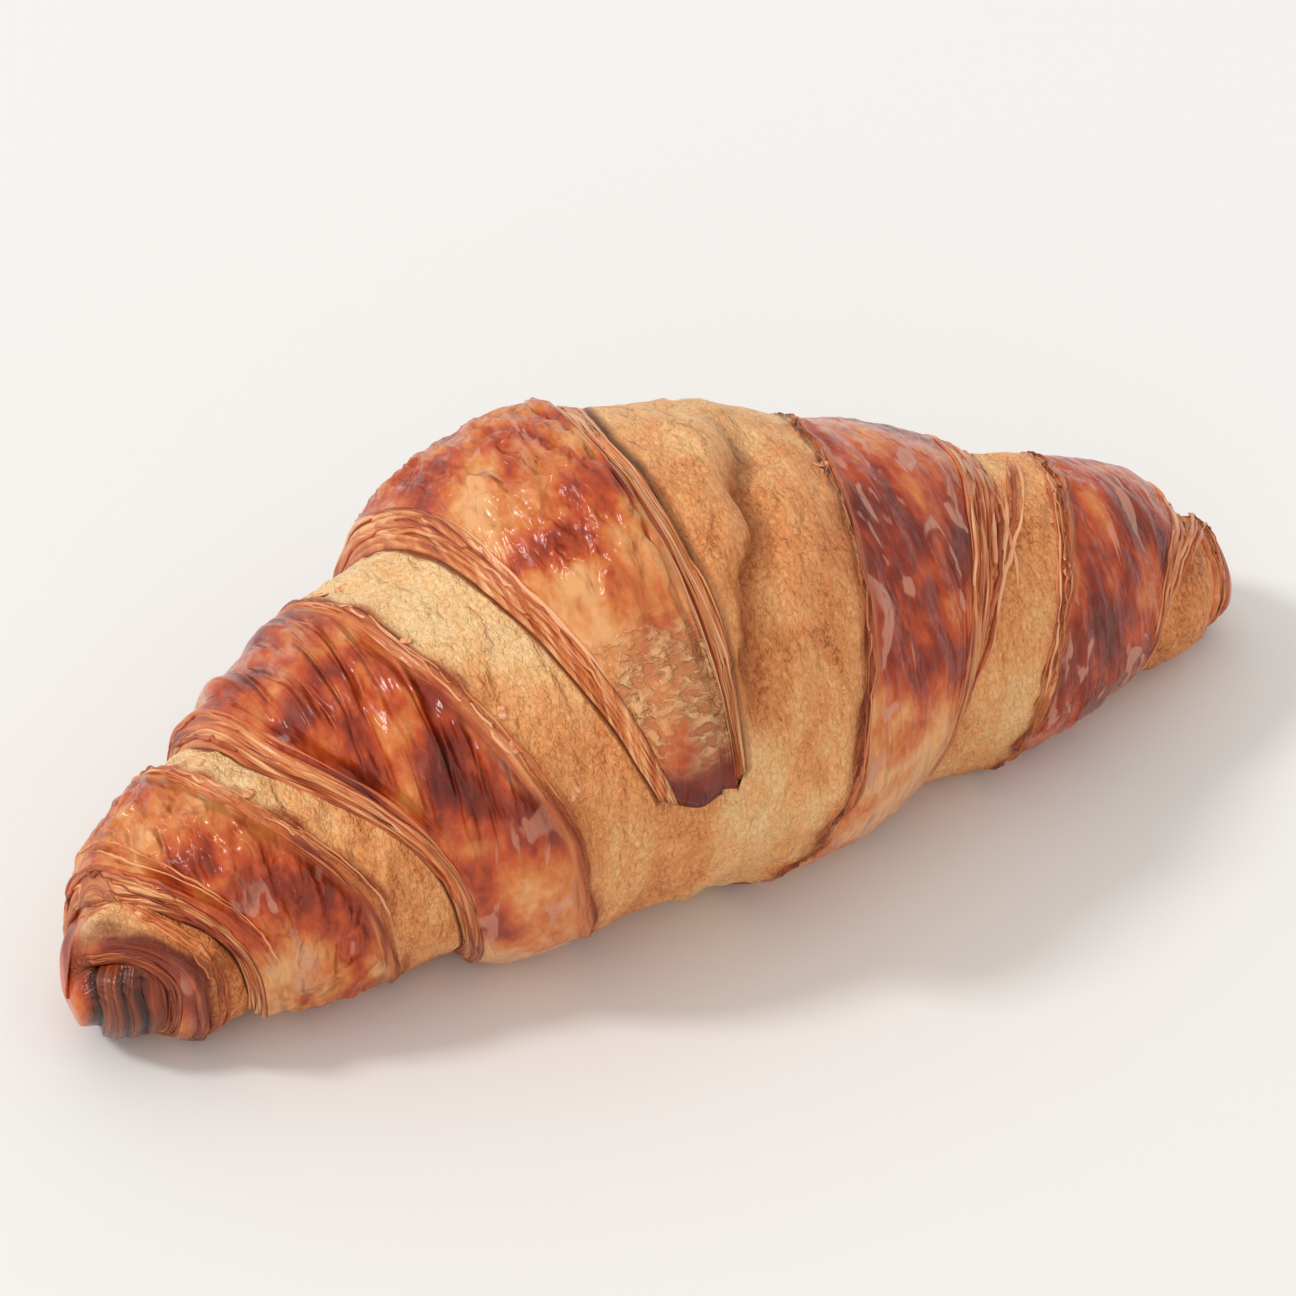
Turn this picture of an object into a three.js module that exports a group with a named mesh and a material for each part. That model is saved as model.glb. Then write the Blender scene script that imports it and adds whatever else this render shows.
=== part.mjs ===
// A baked and glazed croissant, whole: a long triangle of layered dough rolled up from its base.
// The roll lies along X, its tongue ends at the front, and every wrap steps down to the next
// one over a lip. The underside is flat where it lay on the baking tray.
// Lengths are in millimetres. Turns count from the level of the front, over the top, to the back.

import * as THREE from 'three';

// Whole roll
const HALF_LENGTH = 81;
const LEFT = -1;
const RIGHT = 1;
const TRAY_SINK = 0.88;
const TRAY_CLEARANCE = 0.5;
const TIP_LIFT = { [LEFT]: 1.0, [RIGHT]: 2.0 };
const TIP_LIFT_START = 40;

// Girth of the dough under its lips, and how far its axis strays to the back, by station along X
const STATIONS = [-81, -74, -64, -52, -38, -24, -10, 6, 22, 38, 54, 68, 76, 81];
const GIRTH = [5.0, 10.2, 15.0, 18.2, 23.2, 27.4, 30.4, 28.6, 24.0, 20.6, 16.2, 12.0, 7.8, 5.6];
const SWAY = [-1.6, -0.8, 0, 1.0, 1.2, 1.2, 0.2, 0.7, 1.0, 0.6, 0.6, 0.6, 0.2, -0.6];

// Spiral of the lips: one value each quarter turn, from the front over the top, back and underside
const QUARTER = 0.25;
const TURNS = 3.25;
const TONGUE_TIP = 8 / 360;
const TONGUE_MIDDLE = -10.5;
const LIP_REACH = {
  [LEFT]: [14.1, 25.9, 31.7, 32.9, 38.5, 54.5, 58.5, 59.3, 62.5, 73.3, 76.5, 72.4, 70.8, 79.8, 80.4],
  [RIGHT]: [-7.5, -8.7, 2.1, 13.9, 25.7, 39.3, 46.9, 53.9, 60.9, 70.6, 73.0, 73.8, 75.6, 77.2, 77.6],
};
const LIP_STEP = {
  [LEFT]: [2.6, 3.6, 3.4, 3.0, 3.0, 3.0, 2.8, 2.6, 2.6, 2.4, 2.0, 1.6, 1.6, 1.8, 1.4],
  [RIGHT]: [2.4, 1.3, 2.0, 2.8, 2.6, 1.7, 2.0, 2.4, 2.2, 1.4, 1.6, 1.6, 1.6, 1.4, 1.2],
};
const LIP_SPREAD = {
  [LEFT]: [1.2, 1.9, 1.9, 1.6, 1.5, 1.9, 1.6, 1.4, 1.3, 1.5, 1.1, 0.9, 0.9, 0.9, 0.8],
  [RIGHT]: [1.6, 2.8, 3.0, 2.6, 3.0, 5.2, 3.4, 2.8, 2.6, 3.8, 2.2, 1.8, 1.8, 1.8, 1.6],
};
const UNDER_STEP_SHARE = 0.55;
const LIP_ROUNDING = 0.5;

// Swell of a wrap between its lips
const PUFF = 1.4;
const PUFF_FULL_GIRTH = 22;
const PUFF_LEAN = 1.5;
const RISE_LEAN = 1.5;
const TONGUE_CREST = 0.9;

// Fold pressed into the wrap beside the tongue
const FOLD = { fromTurn: 0.09, toTurn: 0.25, fromX: -3.6, toX: 8.8, width: 4.0, depth: 2.0 };

// Middle of each rounded end; the left one turns to the front
const END_POLE = {
  [LEFT]: new THREE.Vector3(-HALF_LENGTH, -3.5, 8.5),
  [RIGHT]: new THREE.Vector3(HALF_LENGTH, -0.6, 7.4),
};

// Layers burst open in the left end, as upright grooves side by side from the back left
const END_GROOVE = { middleX: -77, middleY: -8.5, turned: 28, pitch: 2.6, reach: 4.6, depth: 1.1 };

// Fineness of the surface
const RUNGS_PER_TURN = 56;
const CENTRE_COLUMNS = 2;
const STRIP_COLUMNS = 8;
const LIP_COLUMNS = 2;
const END_RINGS = 6;

const COLUMNS = CENTRE_COLUMNS + STRIP_COLUMNS + LIP_COLUMNS;
const LIP_COLUMN = CENTRE_COLUMNS + STRIP_COLUMNS;
const RUNGS = Math.round(TURNS * RUNGS_PER_TURN);

function clamp(value, low, high) {
  return Math.min(Math.max(value, low), high);
}

function ramp(value, from, to) {
  const share = clamp((value - from) / (to - from), 0, 1);
  return share * share * (3 - 2 * share);
}

// Smooth curve through the values that never overshoots between them
function tableCurve(stations, values) {
  const last = stations.length - 1;
  const gaps = stations.slice(1).map((station, i) => station - stations[i]);
  const slopes = gaps.map((gap, i) => (values[i + 1] - values[i]) / gap);
  const tangents = values.map((_, i) => {
    if (i === 0) return slopes[0];
    if (i === last) return slopes[last - 1];
    const before = slopes[i - 1];
    const after = slopes[i];
    if (before * after <= 0) return 0;
    const weightBefore = 2 * gaps[i] + gaps[i - 1];
    const weightAfter = gaps[i] + 2 * gaps[i - 1];
    return (weightBefore + weightAfter) / (weightBefore / before + weightAfter / after);
  });
  return (at) => {
    const place = clamp(at, stations[0], stations[last]);
    let i = 0;
    while (i < last - 1 && place > stations[i + 1]) i += 1;
    const u = (place - stations[i]) / gaps[i];
    const v = 1 - u;
    return (1 + 2 * u) * v * v * values[i]
      + u * v * v * gaps[i] * tangents[i]
      + u * u * (3 - 2 * u) * values[i + 1]
      - u * u * v * gaps[i] * tangents[i + 1];
  };
}

function turnCurves(table) {
  const curve = (values) => tableCurve(values.map((_, i) => i * QUARTER), values);
  return { [LEFT]: curve(table[LEFT]), [RIGHT]: curve(table[RIGHT]) };
}

const girthAt = tableCurve(STATIONS, GIRTH);
const swayAt = tableCurve(STATIONS, SWAY);
const reachAt = turnCurves(LIP_REACH);
const fullStepAt = turnCurves(LIP_STEP);
const spreadAt = turnCurves(LIP_SPREAD);

function axisHeight(x) {
  const side = x < 0 ? LEFT : RIGHT;
  const towardsTip = clamp((Math.abs(x) - TIP_LIFT_START) / (HALF_LENGTH - TIP_LIFT_START), 0, 1);
  return TRAY_SINK * girthAt(x) + TRAY_CLEARANCE + TIP_LIFT[side] * towardsTip ** 2;
}

function stepAt(side, turn) {
  const aboveTray = clamp(Math.sin(2 * Math.PI * turn) + 1, 0, 1);
  return fullStepAt[side](turn) * (UNDER_STEP_SHARE + (1 - UNDER_STEP_SHARE) * aboveTray);
}

function lipX(side, turn) {
  return side * reachAt[side](turn);
}

function footX(side, turn) {
  return lipX(side, turn) + side * spreadAt[side](turn);
}

// Where a strip of dough comes out from under the wrap above it
function innerX(side, turn) {
  if (turn >= TONGUE_TIP + 1) return footX(side, turn - 1);
  const opening = ramp(turn - TONGUE_TIP, 0.45, 1);
  return TONGUE_MIDDLE + (footX(side, TONGUE_TIP) - TONGUE_MIDDLE) * opening;
}

function foldDepth(turn, x) {
  const along = clamp((turn - 1 - FOLD.fromTurn) / (FOLD.toTurn - FOLD.fromTurn), 0, 1);
  const outside = Math.abs(turn - 1 - (FOLD.fromTurn + along * (FOLD.toTurn - FOLD.fromTurn)));
  const across = (x - (FOLD.fromX + along * (FOLD.toX - FOLD.fromX))) / FOLD.width;
  return FOLD.depth * Math.exp(-(across ** 2)) * (1 - ramp(outside, 0, 0.06));
}

// Height of the surface over the plain girth
function surfaceLift(side, turn, x) {
  const inner = innerX(side, turn);
  const lipHalf = 0.5 * stepAt(side, turn);
  let innerLift = -0.5 * stepAt(side, Math.max(turn - 1, TONGUE_TIP));
  if (turn < TONGUE_TIP + 1) {
    const closing = ramp(turn - TONGUE_TIP, 0, 1);
    innerLift = (lipHalf + TONGUE_CREST) * (1 - closing) - 0.5 * stepAt(side, TONGUE_TIP) * closing;
  }
  const across = clamp((x - inner) / (lipX(side, turn) - inner), 0, 1);
  const rise = 1 - (1 - across) ** RISE_LEAN;
  const swell = PUFF * Math.sin(Math.PI * across ** PUFF_LEAN) * Math.min(1, girthAt(x) / PUFF_FULL_GIRTH);
  return innerLift + (lipHalf - innerLift) * rise + swell - foldDepth(turn, x);
}

function surfacePoint(turn, x, lift) {
  const angle = 2 * Math.PI * turn;
  const radius = girthAt(x) + lift;
  const z = axisHeight(x) + radius * Math.sin(angle);
  return new THREE.Vector3(x, swayAt(x) - radius * Math.cos(angle), Math.max(z, 0));
}

// Points and triangles of the skin; neighbouring wraps share their points, so it closes
class Skin {
  constructor() {
    this.points = [];
    this.triangles = [];
  }

  addPoint(point) {
    this.points.push(point);
    return this.points.length - 1;
  }

  addTriangle(a, b, c, flipped) {
    this.triangles.push(flipped ? [c, b, a] : [a, b, c]);
  }

  addQuad(a, b, c, d, flipped) {
    this.addTriangle(a, b, c, flipped);
    this.addTriangle(a, c, d, flipped);
  }

  toGeometry() {
    const geometry = new THREE.BufferGeometry().setFromPoints(this.points);
    geometry.setIndex(this.triangles.flat());
    geometry.computeVertexNormals();
    return geometry;
  }
}

// Edge of the shared strip in the first turn, before the two sides of the tongue part
function firstInnerX(side, rung, lip) {
  const share = rung / RUNGS_PER_TURN;
  const full = Math.abs(footX(side, TONGUE_TIP) - TONGUE_MIDDLE);
  if (rung === RUNGS_PER_TURN) return TONGUE_MIDDLE + side * full;
  const width = full * (0.45 + 0.55 * ramp(share, 0, 1));
  return TONGUE_MIDDLE + side * Math.min(width, 0.6 * Math.abs(lip - TONGUE_MIDDLE));
}

// Places of one rung: shared middle, strip, then the lip down to the foot of its bevel
function rungPoints(side, rung) {
  const turn = TONGUE_TIP + rung / RUNGS_PER_TURN;
  const lip = lipX(side, turn);
  const foot = footX(side, turn);
  const inner = rung <= RUNGS_PER_TURN ? firstInnerX(side, rung, lip) : footX(side, turn - 1);
  const lipLift = surfaceLift(side, turn, lip);
  const footLift = surfaceLift(side, turn + 1, foot);
  const points = [];
  for (let column = 0; column <= COLUMNS; column += 1) {
    let x = TONGUE_MIDDLE + ((inner - TONGUE_MIDDLE) * column) / CENTRE_COLUMNS;
    if (column > CENTRE_COLUMNS) x = inner + ((lip - inner) * (column - CENTRE_COLUMNS)) / STRIP_COLUMNS;
    let lift = surfaceLift(side, turn, x);
    if (column > LIP_COLUMN) {
      const down = (column - LIP_COLUMN) / LIP_COLUMNS;
      x = lip + (foot - lip) * down;
      lift = lipLift + (footLift - lipLift) * down + LIP_ROUNDING * Math.sin(Math.PI * down);
    }
    points.push(surfacePoint(turn, x, lift));
  }
  return points;
}

function addRungs(skin, side, shared) {
  const ids = [];
  for (let rung = 0; rung <= RUNGS; rung += 1) {
    const row = rungPoints(side, rung).map((point, column) => {
      if (rung > RUNGS_PER_TURN && column < CENTRE_COLUMNS) return -1;
      if (rung >= RUNGS_PER_TURN && column === CENTRE_COLUMNS) return ids[rung - RUNGS_PER_TURN][COLUMNS];
      if (shared && column === 0) return shared[rung][0];
      return skin.addPoint(point);
    });
    ids.push(row);
  }
  for (let rung = 0; rung < RUNGS; rung += 1) {
    const start = rung < RUNGS_PER_TURN ? 0 : CENTRE_COLUMNS;
    for (let column = start; column < COLUMNS; column += 1) {
      const [near, far] = [ids[rung], ids[rung + 1]];
      skin.addQuad(near[column], near[column + 1], far[column + 1], far[column], side === LEFT);
    }
  }
  return ids;
}

// Cut front of the tongue, from its skin down to the wrap it lies on
function addTongueFront(skin, side, ids) {
  const upper = ids[0];
  const lower = ids[RUNGS_PER_TURN];
  for (let column = 0; column < CENTRE_COLUMNS; column += 1) {
    skin.addQuad(lower[column], lower[column + 1], upper[column + 1], upper[column], side === LEFT);
  }
  for (let column = CENTRE_COLUMNS; column < COLUMNS - 1; column += 1) {
    skin.addTriangle(lower[CENTRE_COLUMNS], upper[column + 1], upper[column], side === LEFT);
  }
}

function grooveDepth(side, x, y) {
  if (side === RIGHT) return 0;
  const heading = (END_GROOVE.turned * Math.PI) / 180;
  const offX = (x - END_GROOVE.middleX) * Math.cos(heading);
  const offMiddle = offX - (y - END_GROOVE.middleY) * Math.sin(heading);
  const window = 1 - ramp(Math.abs(offMiddle), 0.6 * END_GROOVE.reach, END_GROOVE.reach);
  const wave = 0.5 - 0.5 * Math.cos((2 * Math.PI * offMiddle) / END_GROOVE.pitch);
  return END_GROOVE.depth * window * wave;
}

// Rounded end of the roll inside the last turn of its lip
function addEnd(skin, side, ids) {
  const rim = [];
  for (let rung = RUNGS - RUNGS_PER_TURN; rung <= RUNGS; rung += 1) rim.push(ids[rung][COLUMNS]);
  for (let column = COLUMNS - 1; column > CENTRE_COLUMNS; column -= 1) rim.push(ids[RUNGS][column]);
  const base = rim.map((id) => skin.points[id]);
  const centre = base.reduce((sum, point) => sum.add(point), new THREE.Vector3());
  centre.divideScalar(base.length);
  const pole = END_POLE[side];
  const flipped = side === RIGHT;
  let outer = rim;
  for (let ring = 1; ring < END_RINGS; ring += 1) {
    const angle = ((ring / END_RINGS) * Math.PI) / 2;
    const inward = Math.cos(angle);
    const outward = Math.sin(angle);
    const inner = base.map((point) => {
      const x = point.x + (pole.x - point.x) * outward;
      const y = centre.y + (point.y - centre.y) * inward + (pole.y - centre.y) * outward;
      const z = centre.z + (point.z - centre.z) * inward + (pole.z - centre.z) * outward;
      const groove = grooveDepth(side, x, y) * outward;
      return skin.addPoint(new THREE.Vector3(x - side * groove, y + 0.5 * groove, Math.max(z, 0)));
    });
    outer.forEach((id, i) => {
      const next = (i + 1) % outer.length;
      skin.addQuad(id, outer[next], inner[next], inner[i], flipped);
    });
    outer = inner;
  }
  const poleId = skin.addPoint(pole);
  outer.forEach((id, i) => skin.addTriangle(id, outer[(i + 1) % outer.length], poleId, flipped));
}

function croissantGeometry() {
  const skin = new Skin();
  const left = addRungs(skin, LEFT, null);
  const right = addRungs(skin, RIGHT, left);
  const sides = [[LEFT, left], [RIGHT, right]];
  for (const [side, ids] of sides) {
    addTongueFront(skin, side, ids);
    addEnd(skin, side, ids);
  }
  return skin.toGeometry();
}

const bakedCrust = new THREE.MeshStandardMaterial({ color: 0xb5652b, roughness: 0.42, metalness: 0 });

const croissant = new THREE.Mesh(croissantGeometry(), bakedCrust);
croissant.name = 'croissant';

const part = new THREE.Group();
part.name = 'croissant_part';
part.add(croissant);

export default part;
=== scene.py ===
"""A whole baked croissant: rolled, layered dough with a crust that is glazed on its outer bands.

Sizes are in millimetres and turned to metres where meshes are made. A turn counts from the level
of the front, over the top, to the back. The roll lies along X with the tongue ending in front.
"""

import logging
import math
from dataclasses import dataclass, field
from enum import Enum

import bpy
import numpy as np
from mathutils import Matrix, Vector


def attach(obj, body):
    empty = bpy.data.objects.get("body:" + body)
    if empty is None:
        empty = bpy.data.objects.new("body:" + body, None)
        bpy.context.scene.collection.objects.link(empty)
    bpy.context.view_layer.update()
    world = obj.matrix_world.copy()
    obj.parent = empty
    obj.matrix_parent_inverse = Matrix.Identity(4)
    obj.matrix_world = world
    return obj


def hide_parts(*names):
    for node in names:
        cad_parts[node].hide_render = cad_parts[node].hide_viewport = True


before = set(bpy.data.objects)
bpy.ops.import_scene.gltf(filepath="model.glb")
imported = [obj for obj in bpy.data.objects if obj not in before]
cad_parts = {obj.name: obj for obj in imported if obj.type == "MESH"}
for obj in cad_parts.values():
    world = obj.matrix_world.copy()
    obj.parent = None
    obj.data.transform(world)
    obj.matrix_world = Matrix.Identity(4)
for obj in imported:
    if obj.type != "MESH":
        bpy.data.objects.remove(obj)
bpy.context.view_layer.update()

LOG = logging.getLogger("croissant")
MM = 0.001
QUARTER = 0.25
WHOLE_TURN = 2 * math.pi
MEAN_GIRTH = 24.0
# Levels over the tray between which the relief of the crust comes in
TRAY_LEVELS = (0.3, 4.0)
# sRGB curve: end and slope of its straight part, offset and power of the rest
SRGB_TOE, SRGB_SLOPE, SRGB_OFFSET, SRGB_POWER = 0.04045, 12.92, 0.055, 2.4
FULL_LEVEL = 255
CAD_NODE = "croissant"
ROOT = "root"


class Side(Enum):
    """Side of the tongue along the roll."""

    LEFT = -1
    RIGHT = 1


class ReliefShape(Enum):
    """How a layer of relief turns a pattern into height."""

    WAVE = "wave"
    CREASE = "crease"


def ramp(value: np.ndarray, start: float, end: float) -> np.ndarray:
    """Smooth step from 0 at start to 1 at end.

    Args:
        value: where it is read.
        start: value at which the step begins.
        end: value at which it is complete.

    Returns:
        Values from 0 to 1.
    """
    share = np.clip((value - start) / (end - start), 0.0, 1.0)
    return share * share * (3.0 - 2.0 * share)


def table_curve(stations: tuple, values: tuple, at: np.ndarray) -> np.ndarray:
    """Smooth curve through a table that never overshoots between its values.

    Args:
        stations: rising places of the values.
        values: value at each station.
        at: where the curve is read.

    Returns:
        The curve's values.
    """
    xs = np.asarray(stations, float)
    ys = np.asarray(values, float)
    gaps = np.diff(xs)
    slopes = np.diff(ys) / gaps
    before, after = slopes[:-1], slopes[1:]
    weight_before = 2 * gaps[1:] + gaps[:-1]
    weight_after = gaps[1:] + 2 * gaps[:-1]
    with np.errstate(divide="ignore", invalid="ignore"):
        blend = (weight_before + weight_after) / (weight_before / before + weight_after / after)
    inner = np.where(before * after > 0, blend, 0.0)
    tangents = np.concatenate([slopes[:1], inner, slopes[-1:]])
    place = np.clip(at, xs[0], xs[-1])
    i = np.clip(np.searchsorted(xs, place, side="left") - 1, 0, len(gaps) - 1)
    u = (place - xs[i]) / gaps[i]
    v = 1.0 - u
    rise = u * v * v * gaps[i] * tangents[i] - u * u * v * gaps[i] * tangents[i + 1]
    return (1 + 2 * u) * v * v * ys[i] + u * u * (3 - 2 * u) * ys[i + 1] + rise


def quarter_curve(values: tuple, turn: np.ndarray) -> np.ndarray:
    """Curve through values that stand a quarter turn apart, read at turn."""
    return table_curve(tuple(k * QUARTER for k in range(len(values))), values, turn)


def wander(turn: np.ndarray, seed: int, waves: int = 9, fastest: float = 22.0) -> np.ndarray:
    """Smooth chance waver along the roll.

    Args:
        turn: where it is read.
        seed: which waver.
        waves: number of waves summed.
        fastest: waves in a turn of the quickest one.

    Returns:
        Values around 0, mostly within 1.
    """
    chance = np.random.default_rng(seed)
    rates = chance.uniform(1.0, fastest, waves)
    starts = chance.uniform(0.0, WHOLE_TURN, waves)
    total = sum(np.sin(WHOLE_TURN * rate * turn + start) for rate, start in zip(rates, starts))
    return total / math.sqrt(waves)


def linear(hex_colour: str) -> tuple:
    """Turns an sRGB hex colour into linear RGBA.

    Args:
        hex_colour: six hex digits with a leading #.

    Returns:
        Linear red, green and blue, and alpha 1.
    """
    shares = [int(hex_colour[k : k + 2], 16) / FULL_LEVEL for k in (1, 3, 5)]
    curved = [((share + SRGB_OFFSET) / (1 + SRGB_OFFSET)) ** SRGB_POWER for share in shares]
    return (*(s / SRGB_SLOPE if s <= SRGB_TOE else c for s, c in zip(shares, curved)), 1.0)


def add_node(
    tree: bpy.types.NodeTree,
    kind: str,
    settings: dict | None = None,
    inputs: dict | None = None,
) -> bpy.types.Node:
    """Adds a node with its settings, values and links.

    Args:
        tree: tree that gets the node.
        kind: Blender's name for the kind of node.
        settings: attributes of the node to set.
        inputs: socket name or number to a value, a socket or a node's first output.

    Returns:
        The new node.
    """
    node = tree.nodes.new(kind)
    for name, value in (settings or {}).items():
        setattr(node, name, value)
    for key, value in (inputs or {}).items():
        if isinstance(value, bpy.types.Node):
            value = value.outputs[0]
        if isinstance(value, bpy.types.NodeSocket):
            tree.links.new(value, node.inputs[key])
        else:
            node.inputs[key].default_value = value
    return node


def weighted_sum(tree: bpy.types.NodeTree, base: float, terms: tuple) -> bpy.types.Node:
    """Adds up sockets times weights.

    Args:
        tree: tree that gets the nodes.
        base: number that the sum starts from.
        terms: pairs of a socket or node and its weight, a number or a socket.

    Returns:
        Node whose first output is the sum.
    """
    total = base
    for value, weight in terms:
        total = add_node(
            tree, "ShaderNodeMath", {"operation": "MULTIPLY_ADD"}, {0: value, 1: weight, 2: total}
        )
    return total


def new_material(name: str) -> tuple:
    """Makes a material without nodes.

    Args:
        name: what it is called.

    Returns:
        The material and its empty tree.
    """
    material = bpy.data.materials.new(name)
    material.use_nodes = True
    material.node_tree.nodes.clear()
    return material, material.node_tree


def close_material(tree: bpy.types.NodeTree, settings: dict) -> None:
    """Ends a material with its shader.

    Args:
        tree: the material's tree.
        settings: the shader's inputs.
    """
    shader = add_node(tree, "ShaderNodeBsdfPrincipled", {}, settings)
    add_node(tree, "ShaderNodeOutputMaterial", {}, {"Surface": shader})


def shade(
    tree: bpy.types.NodeTree, factor: bpy.types.Node, stops: tuple
) -> bpy.types.NodeSocket:
    """Adds a run of colours.

    Args:
        tree: tree that gets the run.
        factor: what moves along it.
        stops: (place, sRGB hex) pairs.

    Returns:
        The colour socket.
    """
    run = add_node(tree, "ShaderNodeValToRGB", {}, {"Fac": factor})
    elements = run.color_ramp.elements
    while len(elements) < len(stops):
        elements.new(1.0)
    for element, (place, colour) in zip(elements, stops):
        element.position = place
        element.color = linear(colour)
    return run.outputs["Color"]


def new_growth(name: str, sizes: dict) -> tuple:
    """Starts a Geometry Nodes tree with a geometry input and named sizes.

    Args:
        name: name of the tree.
        sizes: input name to (socket type, value).

    Returns:
        The tree and its input node.
    """
    tree = bpy.data.node_groups.new(name, "GeometryNodeTree")
    tree.interface.new_socket(name="Geometry", in_out="INPUT", socket_type="NodeSocketGeometry")
    for size, (kind, _) in sizes.items():
        tree.interface.new_socket(name=size, in_out="INPUT", socket_type=kind)
    tree.interface.new_socket(name="Finish", in_out="INPUT", socket_type="NodeSocketMaterial")
    tree.interface.new_socket(name="Geometry", in_out="OUTPUT", socket_type="NodeSocketGeometry")
    add_node(tree, "NodeGroupOutput")
    return tree, add_node(tree, "NodeGroupInput")


def close_growth(tree: bpy.types.NodeTree, grown: bpy.types.Node) -> None:
    """Ends a tree: makes its instances real and gives them the finish.

    Args:
        tree: tree begun by new_growth.
        grown: node whose first output is the geometry.
    """
    given, result = tree.nodes["Group Input"], tree.nodes["Group Output"]
    real = add_node(tree, "GeometryNodeRealizeInstances", {}, {0: grown})
    finished = add_node(
        tree, "GeometryNodeSetMaterial", {}, {"Geometry": real, "Material": given.outputs["Finish"]}
    )
    tree.links.new(finished.outputs[0], result.inputs[0])


def grow(
    piece: bpy.types.Object, tree: bpy.types.NodeTree, sizes: dict, finish: bpy.types.Material
) -> None:
    """Runs a tree on a piece and keeps the result as its plain mesh.

    Args:
        piece: object whose mesh is replaced.
        tree: Geometry Nodes tree.
        sizes: input name to (socket type, value).
        finish: material of the result.
    """
    modifier = piece.modifiers.new(tree.name, "NODES")
    modifier.node_group = tree
    given = {name: value for name, (_, value) in sizes.items()}
    given["Finish"] = finish
    for item in tree.interface.items_tree:
        if item.in_out == "INPUT" and item.name in given:
            modifier[item.identifier] = given[item.name]
    depsgraph = bpy.context.evaluated_depsgraph_get()
    grown = bpy.data.meshes.new_from_object(
        piece.evaluated_get(depsgraph), preserve_all_data_layers=True, depsgraph=depsgraph
    )
    piece.modifiers.clear()
    plain = piece.data
    piece.data = grown
    grown.name = piece.name
    bpy.data.meshes.remove(plain)


def make_piece(
    name: str, points: np.ndarray, faces: list, edges: list | None = None
) -> bpy.types.Object:
    """Makes an object from points in millimetres.

    Args:
        name: name of the piece.
        points: N by 3 array.
        faces: lists of point numbers.
        edges: pairs of point numbers, for a mesh of lines.

    Returns:
        The linked object, at the origin.
    """
    mesh = bpy.data.meshes.new(name)
    mesh.from_pydata((points * MM).tolist(), edges or [], faces)
    mesh.update()
    piece = bpy.data.objects.new(name, mesh)
    bpy.context.scene.collection.objects.link(piece)
    return piece


def give_values(mesh: bpy.types.Mesh, values: dict) -> None:
    """Stores one number, or one vector, for each point of a mesh.

    Args:
        mesh: the mesh.
        values: name to its numbers, or to N by 3 vectors.
    """
    for name, numbers in values.items():
        kind, key = ("FLOAT_VECTOR", "vector") if numbers.ndim == 2 else ("FLOAT", "value")
        layer = mesh.attributes.new(name, kind, "POINT")
        layer.data.foreach_set(key, np.ascontiguousarray(numbers, np.float32).ravel())


def settle(piece: bpy.types.Object) -> None:
    """Smooths a finished piece, gives it its body and hides the imported croissant part.

    Args:
        piece: the piece.
    """
    piece.data.shade_smooth()
    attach(piece, ROOT)
    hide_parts(CAD_NODE)
    LOG.info("%s: %d faces", piece.name, len(piece.data.polygons))


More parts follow.
